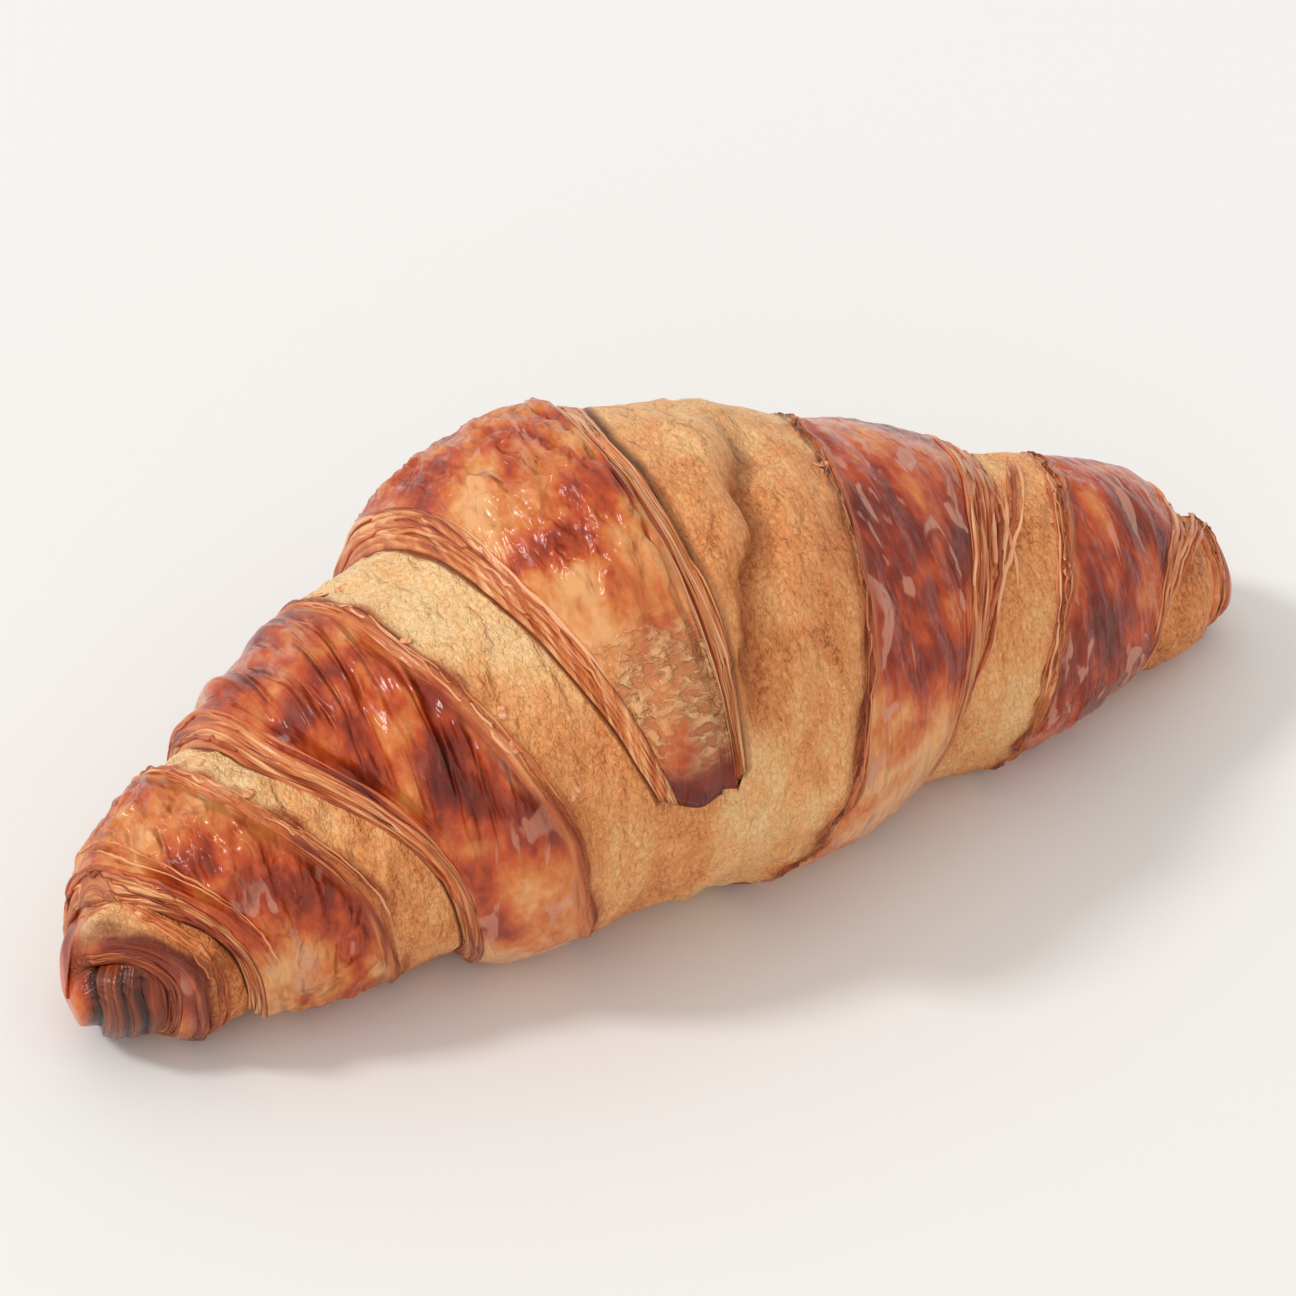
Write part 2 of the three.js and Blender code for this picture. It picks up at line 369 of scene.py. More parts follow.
@dataclass(frozen=True)
class RolledDough:
    """Shape of the roll: girth, spiral of the lips and swell of the wraps, in millimetres."""

    half_length: float = 81.0
    stations: tuple = (-81, -74, -64, -52, -38, -24, -10, 6, 22, 38, 54, 68, 76, 81)
    girths: tuple = (
        5.0, 10.2, 15.0, 18.2, 23.2, 27.4, 30.4, 28.6, 24.0, 20.6, 16.2, 12.0, 7.8, 5.6,
    )
    sways: tuple = (-1.6, -0.8, 0, 1.0, 1.2, 1.2, 0.2, 0.7, 1.0, 0.6, 0.6, 0.6, 0.2, -0.6)
    tray_sink: float = 0.88
    tray_clearance: float = 0.5
    tip_lifts: tuple = (1.0, 2.0)
    tip_lift_start: float = 40.0
    turns: float = 3.25
    tongue_tip: float = 8 / 360
    tongue_middle: float = -10.5
    reaches: dict = field(
        default_factory=lambda: {
            Side.LEFT: (
                14.1, 25.9, 31.7, 32.9, 38.5, 54.5, 58.5, 59.3, 62.5, 73.3, 76.5, 72.4, 70.8,
                79.8, 80.4,
            ),
            Side.RIGHT: (
                -7.5, -8.7, 2.1, 13.9, 25.7, 39.3, 46.9, 53.9, 60.9, 70.6, 73.0, 73.8, 75.6,
                77.2, 77.6,
            ),
        }
    )
    steps: dict = field(
        default_factory=lambda: {
            Side.LEFT: (2.6, 3.6, 3.4, 3.0, 3.0, 3.0, 2.8, 2.6, 2.6, 2.4, 2.0, 1.6, 1.6, 1.8, 1.4),
            Side.RIGHT: (1.4, 0.6, 1.1, 2.6, 2.6, 1.7, 2.0, 2.4, 2.2, 1.4, 1.6, 1.6, 1.6, 1.4, 1.2),
        }
    )
    spreads: dict = field(
        default_factory=lambda: {
            Side.LEFT: (1.2, 1.9, 1.9, 1.6, 1.5, 1.9, 1.6, 1.4, 1.3, 1.5, 1.1, 0.9, 0.9, 0.9, 0.8),
            Side.RIGHT: (1.6, 2.8, 3.0, 2.6, 3.0, 5.2, 3.4, 2.8, 2.6, 3.8, 2.2, 1.8, 1.8, 1.8, 1.6),
        }
    )
    glaze_starts: dict = field(
        default_factory=lambda: {
            Side.LEFT: (
                -0.4, -0.4, -0.4, 0.1, 0.46, 0.42, 0.4, 0.36, 0.34, 0.3, 0.4, 0.7, 0.72, 0.85,
                0.85,
            ),
            Side.RIGHT: (
                -0.4, -0.4, -0.4, 0.1, 0.48, 0.58, 0.6, 0.5, 0.4, 0.38, 0.45, 0.8, 1.1, 1.3,
                1.3,
            ),
        }
    )
    heat_phases: tuple = (-0.3, -0.1, 0.0, 0.05, 0.1, 0.15, 0.2, 0.26, 0.34, 0.45, 0.55, 0.7)
    glaze_heats: dict = field(
        default_factory=lambda: {
            (Side.LEFT, 1): (0.1, 0.2, 0.36, 0.48, 0.5, 0.46, 0.48, 0.46, 0.46, 0.46, 0.3, 0.1),
            (Side.LEFT, 2): (0.1, 0.16, 0.28, 0.42, 0.48, 0.46, 0.3, 0.12, 0.2, 0.4, 0.3, 0.1),
            (Side.RIGHT, 1): (0.1, 0.14, 0.2, 0.44, 0.52, 0.54, 0.5, 0.46, 0.5, 0.5, 0.3, 0.1),
            (Side.RIGHT, 2): (0.1, 0.46, 0.62, 0.6, 0.64, 0.66, 0.6, 0.54, 0.5, 0.5, 0.3, 0.1),
        }
    )
    pale_heats: dict = field(
        default_factory=lambda: {
            Side.LEFT: (0.8, 0.95, 1.0, 0.95, 0.9, 0.55, 0.25, 0.08, 0.25, 0.45, 0.6, 0.8),
            Side.RIGHT: (0.8, 0.7, 0.6, 0.75, 0.95, 1.0, 0.9, 0.6, 0.5, 0.5, 0.6, 0.8),
        }
    )
    tongue_phases: tuple = (
        0.0, 0.028, 0.045, 0.06, 0.1, 0.125, 0.15, 0.18, 0.22, 0.3, 0.4, 0.5, 0.6, 0.8,
    )
    tongue_heats: tuple = (
        0.72, 0.72, 0.68, 0.58, 0.34, 0.24, 0.14, 0.16, 0.3, 0.32, 0.5, 0.5, 0.3, 0.2,
    )
    end_heat: float = 0.4
    scorches: tuple = (
        (Side.LEFT, 1.09, 0.74, 0.03, 0.12, 0.42),
        (Side.LEFT, 3.1, 0.97, 0.12, 0.22, 0.5),
        (Side.LEFT, 2.105, 0.66, 0.035, 0.15, 0.3),
        (Side.LEFT, 0.33, 0.5, 0.05, 0.3, 0.12),
        (Side.RIGHT, 1.13, 0.75, 0.05, 0.1, 0.16),
        (Side.RIGHT, 1.05, 0.72, 0.03, 0.12, 0.1),
        (Side.RIGHT, 2.02, 0.6, 0.04, 0.3, 0.1),
    )
    under_step_share: float = 0.55
    step_end_turns: tuple = (3.0, 3.27)
    step_end_share: float = 0.75
    opening: tuple = (0.45, 1.0)
    puff: float = 1.4
    puff_full_girth: float = 22.0
    lean: float = 1.5
    tongue_crest: float = 0.9
    fold_turns: tuple = (0.09, 0.25)
    fold_places: tuple = (-3.6, 8.8)
    fold_widths: tuple = (0.9, 3.6)
    fold_depth: float = 3.0
    fold_fade: float = 0.05
    fold_power: float = 1.7
    fold_sway: tuple = (1.1, 14.0, 0.4)
    fold_lobe: tuple = (4.6, 3.2, 1.5)

    def girth(self, x: np.ndarray) -> np.ndarray:
        """Radius of the dough at x."""
        return table_curve(self.stations, self.girths, x)

    def sway(self, x: np.ndarray) -> np.ndarray:
        """How far the axis strays to the back at x."""
        return table_curve(self.stations, self.sways, x)

    def axis_height(self, x: np.ndarray) -> np.ndarray:
        """Height of the axis over the surface it rests on.

        Args:
            x: where along the roll.

        Returns:
            Heights in millimetres.
        """
        reach = (np.abs(x) - self.tip_lift_start) / (self.half_length - self.tip_lift_start)
        lift = np.where(x < 0, *self.tip_lifts) * np.clip(reach, 0, 1) ** 2
        return self.tray_sink * self.girth(x) + self.tray_clearance + lift

    def step(self, side: Side, turn: np.ndarray) -> np.ndarray:
        """Height of the step under a lip.

        Args:
            side: side of the tongue.
            turn: where round the roll.

        Returns:
            Heights in millimetres.
        """
        above = np.clip(np.sin(WHOLE_TURN * turn) + 1, 0, 1)
        share = self.under_step_share + (1 - self.under_step_share) * above
        share = share * (1 - self.step_end_share * ramp(turn, *self.step_end_turns))
        return quarter_curve(self.steps[side], turn) * share

    def lip(self, side: Side, turn: np.ndarray) -> np.ndarray:
        """Place along X of the lip."""
        return side.value * quarter_curve(self.reaches[side], turn)

    def foot(self, side: Side, turn: np.ndarray) -> np.ndarray:
        """Place along X where the bevel under the lip ends."""
        return self.lip(side, turn) + side.value * quarter_curve(self.spreads[side], turn)

    def inner(self, side: Side, turn: np.ndarray) -> np.ndarray:
        """Place along X where a strip comes out from under the wrap above it.

        Args:
            side: side of the tongue.
            turn: where round the roll.

        Returns:
            Places in millimetres.
        """
        opening = ramp(turn - self.tongue_tip, *self.opening)
        tip_foot = self.foot(side, np.full_like(turn, self.tongue_tip))
        first = self.tongue_middle + (tip_foot - self.tongue_middle) * opening
        later = self.foot(side, np.maximum(turn - 1, self.tongue_tip))
        return np.where(turn >= self.tongue_tip + 1, later, first)

    def fold_reach(self, turn: np.ndarray, x: np.ndarray) -> tuple:
        """Distance along X from the fold beside the tongue, and its strength.

        Args:
            turn: where round the roll.
            x: where along it.

        Returns:
            Millimetres from the fold, positive to its right, and strength from 0 to 1.
        """
        start, end = self.fold_turns
        along = np.clip((turn - 1 - start) / (end - start), 0, 1)
        outside = np.abs(turn - 1 - (start + along * (end - start)))
        middle = self.fold_places[0] + along * (self.fold_places[1] - self.fold_places[0])
        size, pace, begin = self.fold_sway
        middle = middle + size * np.sin(pace * along + begin) * np.sin(math.pi * along)
        return x - middle, 1 - ramp(outside, 0, self.fold_fade)

    def fold(self, turn: np.ndarray, x: np.ndarray) -> np.ndarray:
        """Depth of the fold pressed into the wrap, less the lobe that hangs over it.

        Args:
            turn: where round the roll.
            x: where along it.

        Returns:
            Depths in millimetres.
        """
        across, strength = self.fold_reach(turn, x)
        width = np.where(across < 0, *self.fold_widths)
        pressed = np.exp(-np.abs(across / width) ** self.fold_power)
        away, width, height = self.fold_lobe
        lobe = height * np.exp(-(((across + away) / width) ** 2))
        return (self.fold_depth * pressed - lobe) * strength

    def share(self, side: Side, turn: np.ndarray, x: np.ndarray) -> np.ndarray:
        """Share of the way across a strip, from 0 at its inner edge to 1 at its lip."""
        inner = self.inner(side, turn)
        return np.clip((x - inner) / (self.lip(side, turn) - inner), 0, 1)

    def lift(self, side: Side, turn: np.ndarray, x: np.ndarray) -> np.ndarray:
        """Height of the surface over the plain girth.

        Args:
            side: side of the tongue.
            turn: where round the roll.
            x: where along it.

        Returns:
            Heights in millimetres.
        """
        lip_half = 0.5 * self.step(side, turn)
        tip_half = 0.5 * self.step(side, np.full_like(turn, self.tongue_tip))
        closing = ramp(turn - self.tongue_tip, 0, 1)
        first = (lip_half + self.tongue_crest) * (1 - closing) - tip_half * closing
        later = -0.5 * self.step(side, np.maximum(turn - 1, self.tongue_tip))
        inner_lift = np.where(turn < self.tongue_tip + 1, first, later)
        across = self.share(side, turn, x)
        rise = 1 - (1 - across) ** self.lean
        fullness = np.minimum(1, self.girth(x) / self.puff_full_girth)
        swell = self.puff * np.sin(math.pi * across**self.lean) * fullness
        return inner_lift + (lip_half - inner_lift) * rise + swell - self.fold(turn, x)

    def glaze_depth(self, side: Side, turn: np.ndarray, x: np.ndarray) -> np.ndarray:
        """How far each point lies into the glazed band.

        Args:
            side: side of the tongue.
            turn: where round the roll.
            x: where along it.

        Returns:
            Millimetres, negative on the pale band.
        """
        inner = self.inner(side, turn)
        width = np.abs(self.lip(side, turn) - inner)
        return (self.share(side, turn, x) - quarter_curve(self.glaze_starts[side], turn)) * width

    def point(self, turn: np.ndarray, x: np.ndarray, lift: np.ndarray) -> np.ndarray:
        """Points of the surface.

        Args:
            turn: where round the roll.
            x: where along it.
            lift: height over the plain girth.

        Returns:
            Array of points, kept over the surface the roll rests on.
        """
        angle = WHOLE_TURN * turn
        radius = self.girth(x) + lift
        height = np.maximum(self.axis_height(x) + radius * np.sin(angle), 0)
        return np.stack([x, self.sway(x) - radius * np.cos(angle), height], -1)


@dataclass(frozen=True)
class BurstEnd:
    """Left end, where layers burst open under a hood as upright slits; sizes in millimetres.

    A slit is its place sideways from the middle, its half width and its depth.
    """

    middle: tuple = (-77.0, -8.5)
    turned: float = 28.0
    slits: tuple = ((-2.9, 0.6, 1.4), (-1.3, 0.4, 0.4), (0.6, 0.55, 0.9), (2.6, 0.65, 1.4))
    places: tuple = (-8.0, -4.5, -3.4, 0.0, 3.4, 4.6, 8.0)
    swells: tuple = (0.2, 0.9, 0.2, 0.5, 0.4, 1.3, 0.6)
    heats: tuple = (0.4, 0.36, 0.46, 0.62, 0.74, 0.84, 0.76)
    reach: float = 3.4
    hood_inset: float = 1.2
    hood_turns: tuple = (2.98, 3.07)
    hood_ends: tuple = (3.16, 3.27)
    hood_fall: float = 0.3
    hood_place: float = 1.5
    hood_half: float = 1.2
    hood_height: float = 1.5
    hood_swell: float = 2.2
    hood_angles: tuple = (0.22, 0.16)
    hood_levels: tuple = (11.0, 14.0)
    bow: tuple = (0.45, 0.5)
    char_shares: tuple = (0.9, 1.25)
    push_ways: tuple = (0.85, 0.5)
    stretch: float = 1.8

    def off_middle(self, points: np.ndarray) -> np.ndarray:
        """Distance sideways from the middle slit.

        Args:
            points: N by 3 array.

        Returns:
            Millimetres, positive to the front.
        """
        heading = math.radians(self.turned)
        along_x = (points[:, 0] - self.middle[0]) * math.cos(heading)
        off = along_x - (points[:, 1] - self.middle[1]) * math.sin(heading)
        size, pace = self.bow
        return off + size * np.sin(pace * points[:, 2])

    def hood(self, turn: np.ndarray, share: np.ndarray, to_lip: np.ndarray) -> np.ndarray:
        """Height of the rolled edge that hangs over the burst layers, and of the swell behind it.

        Args:
            turn: where round the roll.
            share: share of the way across the strip.
            to_lip: millimetres from the lip.

        Returns:
            Heights in millimetres.
        """
        begin, full = self.hood_turns
        rolled = np.exp(-(((to_lip - self.hood_place) / self.hood_half) ** 2))
        length = ramp(turn, begin, full) * (1 - self.hood_fall * ramp(turn, *self.hood_ends))
        swell = self.hood_swell * ramp(turn, begin, self.hood_ends[1]) * np.sin(math.pi * share)
        return self.hood_height * length * rolled + swell

    def slit_share(self, points: np.ndarray) -> np.ndarray:
        """How deep in a slit each point lies, in millimetres."""
        off = self.off_middle(points)
        return sum(
            deep * np.exp(-(((off - place) / half) ** 2)) for place, half, deep in self.slits
        )

    def charring(self, points: np.ndarray) -> np.ndarray:
        """1 among the slits and 0 beside them."""
        begin, end = (share * self.reach for share in self.char_shares)
        return 1 - ramp(np.abs(self.off_middle(points)), begin, end)

    def open_cap(self, cap: np.ndarray, angle: float, inside: np.ndarray, rim: np.ndarray) -> dict:
        """Swells, slits and chars one ring of the cap.

        Args:
            cap: points of the ring, which are moved.
            angle: how far the ring is from the rim, up to a quarter of a circle.
            inside: 0 at the rim and 1 away from it.
            rim: heights of the rim's points.

        Returns:
            Mask to its numbers.
        """
        off, slit = self.off_middle(cap), self.slit_share(cap)
        middle, half = self.hood_angles
        inset = self.hood_inset * math.exp(-(((angle - middle) / half) ** 2))
        swell = table_curve(self.places, self.swells, off) * math.sin(angle)
        push = (swell - slit) * inside - inset * ramp(rim, *self.hood_levels)
        flow = np.stack([self.stretch * off, cap[:, 2], 0 * off], -1)
        for axis, way in enumerate(self.push_ways):
            cap[:, axis] -= way * push
        return {
            "flow": flow,
            "burnt": self.charring(cap) * inside,
            # Slit depth: darkens the char deep in each slit as painted shade and sets the edges'
            # tone
            "leaf": np.clip(slit, 0, 1),
            "browning": table_curve(self.places, self.heats, off),
        }


@dataclass(frozen=True)
class ReliefLayer:
    """One layer of relief; its pitch, along X and round the roll, and height are in millimetres."""

    name: str
    mask: str
    shape: ReliefShape
    pitch: tuple
    height: float
    waver: float = 0.0
    detail: float = 2.0


@dataclass(frozen=True)
class CrustRelief:
    """Wrinkles, fibres and lumps that the oven leaves on the crust."""

    crease_span: float = 0.24
    crease_heights: tuple = (0.55, -0.45)
    layers: tuple = (
        ReliefLayer("Lumps", "off_tray", ReliefShape.WAVE, (15.0, 15.0), 1.1, 0.2),
        ReliefLayer("Glaze wrinkles", "wrinkled", ReliefShape.WAVE, (2.9, 24.0), 2.4, 0.3, 1.0),
        ReliefLayer("Tongue crumples", "crumpled", ReliefShape.CREASE, (5.0, 8.0), 0.9, 0.9, 1.0),
        ReliefLayer("Bubbles", "bubbled", ReliefShape.WAVE, (2.6, 3.4), 1.0, 0.6, 1.0),
        ReliefLayer("Pale crumples", "fibrous", ReliefShape.WAVE, (4.2, 6.0), 1.0, 0.8, 1.5),
    )

    def sizes(self) -> dict:
        """Named inputs of the tree, one height for each layer, in metres."""
        return {
            f"{layer.name} height": ("NodeSocketFloat", layer.height * MM) for layer in self.layers
        }

    def raise_crust(self, piece: bpy.types.Object, finish: bpy.types.Material) -> None:
        """Moves the crust out and in along its normals and keeps the height as relief.

        Args:
            piece: smooth body with the layers' masks.
            finish: the crust's material.
        """
        tree, given = new_growth("Crust relief", self.sizes())
        place = add_node(tree, "GeometryNodeInputPosition")
        kind, plain = "GeometryNodeInputNamedAttribute", {"data_type": "FLOAT"}
        masks = {
            name: add_node(tree, kind, plain, {"Name": name})
            for name in ("off_tray", *(layer.mask for layer in self.layers))
        }
        terms = []
        for layer in self.layers:
            along, around = layer.pitch
            scale = (1 / (along * MM), 1 / (around * MM), 1 / (around * MM))
            spot = add_node(
                tree, "ShaderNodeVectorMath", {"operation": "MULTIPLY"}, {0: place, 1: scale}
            )
            height = self.pattern(tree, layer, spot)
            masked = weighted_sum(tree, 0.0, ((height, masks[layer.mask]),))
            terms.append((masked, given.outputs[f"{layer.name} height"]))
        total = weighted_sum(tree, 0.0, terms)
        total = weighted_sum(tree, 0.0, ((total, masks["off_tray"]),))
        normal = add_node(tree, "GeometryNodeInputNormal")
        shift = add_node(
            tree, "ShaderNodeVectorMath", {"operation": "SCALE"}, {"Vector": normal, "Scale": total}
        )
        moved = add_node(
            tree,
            "GeometryNodeSetPosition",
            {},
            {"Geometry": given.outputs["Geometry"], "Offset": shift},
        )
        relief = add_node(tree, "ShaderNodeMath", {"operation": "DIVIDE"}, {0: total, 1: MM})
        kept = add_node(
            tree,
            "GeometryNodeStoreNamedAttribute",
            {"data_type": "FLOAT", "domain": "POINT"},
            {"Geometry": moved, "Name": "relief", "Value": relief},
        )
        close_growth(tree, kept)
        grow(piece, tree, self.sizes(), finish)

    def pattern(
        self, tree: bpy.types.NodeTree, layer: ReliefLayer, spot: bpy.types.Node
    ) -> bpy.types.Node:
        """Adds the nodes of one layer's pattern.

        Args:
            tree: tree that gets them.
            layer: the layer.
            spot: place, in pitches.

        Returns:
            Node whose first output is the height, from about -1 to 1.
        """
        noise = add_node(
            tree,
            "ShaderNodeTexNoise",
            {},
            {"Vector": spot, "Scale": 1.0, "Detail": layer.detail, "Distortion": layer.waver},
        )
        centred = add_node(
            tree, "ShaderNodeMath", {"operation": "MULTIPLY_ADD"}, {0: noise, 1: 2.0, 2: -1.0}
        )
        if layer.shape is ReliefShape.WAVE:
            return centred
        folded = add_node(tree, "ShaderNodeMath", {"operation": "ABSOLUTE"}, {0: centred})
        top, bottom = self.crease_heights
        limits = {"From Min": 0.0, "From Max": self.crease_span, "To Min": top, "To Max": bottom}
        return add_node(tree, "ShaderNodeMapRange", {}, {"Value": folded, **limits})


@dataclass(frozen=True)
class CrustZones:
    """Where each kind of crust begins and where it is full.

    Turns are turns, depths are millimetres into the glazed band or out of it, gaps are millimetres
    from a lip, and bevels are shares of the way down under a lip.
    """

    first_phase: float = -0.3
    bevel: tuple = (0.0, 0.1)
    glaze_depths: tuple = (-0.4, 0.6)
    past_tongue_turns: tuple = (0.55, 0.7)
    later_wrap_turns: tuple = (1.6, 1.75)
    brown_end_turns: tuple = (2.3, 2.8)
    off_lip_gaps: tuple = (0.5, 2.6)
    near_lip_gaps: tuple = (0.3, 3.0)
    front_turns: tuple = (0.02, 0.08)
    back_turns: tuple = (0.36, 0.44)
    wrinkle_depths: tuple = (0.8, 3.0)
    second_band_turns: tuple = (1.7, 1.9)
    left_bubbles: float = 0.9
    left_low_wrinkles: float = 0.15
    left_second_loss: float = 0.75
    right_bubbles: float = 0.25
    right_wrinkles: float = 0.22
    # Painted shade: how far the dark of the fold's crease reaches to each side
    crease_shade_widths: tuple = (0.8, 1.7)
    # Painted reflection: where the glaze gets a milky pinkish sheen that stands for the pale
    # surroundings
    reflection_depths: tuple = (0.5, 1.5)
    left_reflection: float = 0.75
    left_reflection_turns: tuple = (0.08, 0.14)
    tongue_reflection_turns: tuple = (0.23, 0.3)
    layered_bevel: tuple = (0.0, 0.2)
    layered_seam: float = 1.5
    side_shift: float = 9.0
    crumple_turns: tuple = (0.1, 0.18)
    blister_turns: tuple = (0.04, 0.06)
    blister_end_turns: tuple = (0.11, 0.15)
    fibre_depths: tuple = (0.2, 1.5)
    dark_edge_turns: tuple = (2.8, 2.95)
    flake_depths: tuple = (0.0, 0.8)
    flake_end_depths: tuple = (3.0, 4.0)


@dataclass
class CroissantBody:
    """The croissant's whole skin, closed, with its lips, fold and ends; sizes in millimetres."""

    dough: RolledDough
    burst: BurstEnd
    relief: CrustRelief
    zones: CrustZones
    rungs_per_turn: int = 176
    centre_columns: int = 5
    pale_columns: int = 13
    seam_columns: int = 9
    glaze_columns: int = 32
    leaves: int = 5
    end_rings: int = 20
    rim_blur: int = 9
    centre_share: float = 0.45
    centre_limit: float = 0.6
    seam_middles: tuple = (0.14, 0.86)
    seam_shares: tuple = (0.01, 0.1)
    seam_begins: tuple = (0.1, 0.3)
    seam_ends: tuple = (0.7, 0.95)
    seam_waver: float = 0.5
    seam_seed: int = 31
    seam_width: float = 1.15
    seam_half: float = 1.9
    seam_height: float = 0.7
    seam_lines: tuple = (0.55, 0.45)
    # Tread middle, tread edge and the foot of the riser under it: way out, way down and tone;
    # the tone paints light and shade, lighter at the edge and darker at the foot under it
    leaf_profile: tuple = ((0.55, 0.04, 0.5), (1.22, 0.16, 1.0), (0.95, 1.0, 0.0))
    leaf_waver: float = 0.3
    leaf_sag: float = 0.4
    # Wavers of a leaf's edge, outward and down: seed, waves and pace
    push_waver: tuple = (50, 7, 11.0)
    sag_waver: tuple = (80, 6, 9.0)
    side_seeds: int = 10
    rim_width: float = 3.0
    cap_even: float = 0.3
    cap_fresh: float = 0.2
    cap_depth: float = 3.0
    cap_reach: float = 82.4
    cap_fading: tuple = (
        "layered", "fibrous", "near_lip", "film", "wrinkled", "creased", "flaky", "dark_edge"
    )
    nub_heat: float = 0.44
    nub_layers: float = 0.25
    nub_roundness: float = 0.6
    # Lobes round the right end: how many, how strong and where they begin
    nub_lobes: tuple = ((2, 0.25, 0.0), (3, 0.15, 1.0))
    soft_reach: tuple = (1.2, 4.5)
    soft_pull: float = 0.7
    soft_stride: int = 5
    soft_rounds: int = 220
    end_poles: dict = field(
        default_factory=lambda: {Side.LEFT: (-81.0, -3.5, 8.5), Side.RIGHT: (81.0, -0.6, 7.4)}
    )

    def __post_init__(self) -> None:
        """Works out the grid's counts."""
        self.strip_columns = self.pale_columns + self.seam_columns + self.glaze_columns
        self.lip_column = self.centre_columns + self.strip_columns
        self.columns = self.lip_column + len(self.leaf_profile) * self.leaves
        self.rungs = round(self.dough.turns * self.rungs_per_turn)
        self.points: list = []
        self.values: dict = {}
        self.faces: list = []
        self.count = 0

    def add_points(self, points: np.ndarray, values: dict) -> np.ndarray:
        """Keeps points with their values.

        Args:
            points: N by 3 array.
            values: mask to its N numbers.

        Returns:
            Numbers of the new points.
        """
        ids = np.arange(self.count, self.count + len(points))
        self.points.append(points)
        for name, numbers in values.items():
            self.values.setdefault(name, []).append(numbers)
        self.count += len(points)
        return ids

    def add_faces(self, corners: list, flipped: bool) -> None:
        """Keeps faces.

        Args:
            corners: equal arrays, one for each corner.
            flipped: whether the corners run the other way round.
        """
        rows = np.stack([np.ravel(c) for c in corners], -1)
        self.faces.extend((rows[:, ::-1] if flipped else rows).tolist())

    def strip_shares(self, side: Side, turn: np.ndarray, width: np.ndarray) -> np.ndarray:
        """Places a strip's columns, closer together at the seam of the glaze.

        Args:
            side: side of the tongue.
            turn: where round the roll.
            width: the strip's width in millimetres.

        Returns:
            Shares of the way across, rungs by columns.
        """
        middle = np.clip(quarter_curve(self.dough.glaze_starts[side], turn), *self.seam_middles)
        half = np.clip(self.seam_half / width, *self.seam_shares)
        low, high = (middle - half)[:, None], (middle + half)[:, None]
        first = low * np.arange(self.pale_columns) / self.pale_columns
        second = low + (high - low) * np.arange(self.seam_columns) / self.seam_columns
        third = high + (1 - high) * np.arange(self.glaze_columns + 1) / self.glaze_columns
        return np.concatenate([first, second, third], 1)

    def seam_band(self, side: Side, turn: np.ndarray, depth: np.ndarray) -> tuple:
        """Where the thin ridge lies along which the glaze begins.

        Args:
            side: side of the tongue.
            turn: where round the roll.
            depth: millimetres into the glazed band.

        Returns:
            Distance from the ridge in millimetres, and its strength from 0 to 1.
        """
        start = quarter_curve(self.dough.glaze_starts[side], turn)
        present = ramp(start, *self.seam_begins) * (1 - ramp(start, *self.seam_ends))
        off = depth - self.seam_waver * wander(turn, self.seam_seed + side.value)
        return off, present * np.exp(-((off / self.seam_width) ** 2))

    def rows(self, side: Side) -> tuple:
        """Works out the grid of one side.

        Args:
            side: side of the tongue.

        Returns:
            Points, rungs by columns by 3, and a dict of masks, rungs by columns.
        """
        dough = self.dough
        rung = np.arange(self.rungs + 1)
        turn = dough.tongue_tip + rung / self.rungs_per_turn
        lip, foot = dough.lip(side, turn), dough.foot(side, turn)
        full = abs(foot[0] - dough.tongue_middle)
        grown = ramp(rung / self.rungs_per_turn, 0, 1)
        narrow = full * (self.centre_share + (1 - self.centre_share) * grown)
        narrow = np.minimum(narrow, self.centre_limit * np.abs(lip - dough.tongue_middle))
        half = np.where(rung < self.rungs_per_turn, narrow, full)
        first = dough.tongue_middle + side.value * half
        later = dough.foot(side, np.maximum(turn - 1, 0))
        edge = np.where(rung <= self.rungs_per_turn, first, later)
        shares = self.strip_shares(side, turn, np.abs(lip - edge))
        x = np.zeros((len(rung), self.columns + 1))
        spread = np.arange(self.centre_columns) / self.centre_columns
        off_middle = (edge - dough.tongue_middle)[:, None]
        x[:, : self.centre_columns] = dough.tongue_middle + off_middle * spread
        strip = slice(self.centre_columns, self.lip_column + 1)
        x[:, strip] = edge[:, None] + (lip - edge)[:, None] * shares
        turns = np.repeat(turn[:, None], self.columns + 1, 1)
        x[:, self.lip_column :] = lip[:, None]
        lift = dough.lift(side, turns, x)
        depth = dough.glaze_depth(side, turns, x)
        off, band = self.seam_band(side, turns, depth)
        level, swing = self.seam_lines
        lines = level + swing * np.cos(WHOLE_TURN * off / self.seam_width)
        lift[:, : self.lip_column] += (self.seam_height * band * lines)[:, : self.lip_column]
        if side is Side.LEFT:
            across = dough.share(side, turns, x)
            to_lip = (1 - across) * (dough.inner(side, turn) - lip)[:, None]
            lift += self.burst.hood(turns, across, to_lip)
        rim = np.zeros_like(x)
        leaf = np.zeros_like(x)
        top = lift[:, self.lip_column]
        drop_all = dough.lift(side, turn + 1, foot) - top
        for k in range(self.leaves):
            own = k + self.side_seeds * side.value
            push, sink = (
                size * wander(turn, seed + own, waves, pace) / self.leaves
                for size, (seed, waves, pace) in (
                    (self.leaf_waver, self.push_waver),
                    (self.leaf_sag, self.sag_waver),
                )
            )
            for i, (out, down, tone) in enumerate(self.leaf_profile):
                column = self.lip_column + len(self.leaf_profile) * k + i + 1
                out_share = (k + out) / self.leaves + (push if i else 0.5 * push)
                down_share = (k + down) / self.leaves + sink
                if column == self.columns:
                    out_share, down_share = np.ones_like(turn), np.ones_like(turn)
                x[:, column] = lip + (foot - lip) * out_share
                lift[:, column] = top + drop_all * down_share
                rim[:, column] = (k + out) / self.leaves
                leaf[:, column] = tone
        points = dough.point(turns, x, lift)
        return points, self.masks(side, turns, points, depth, rim, leaf)

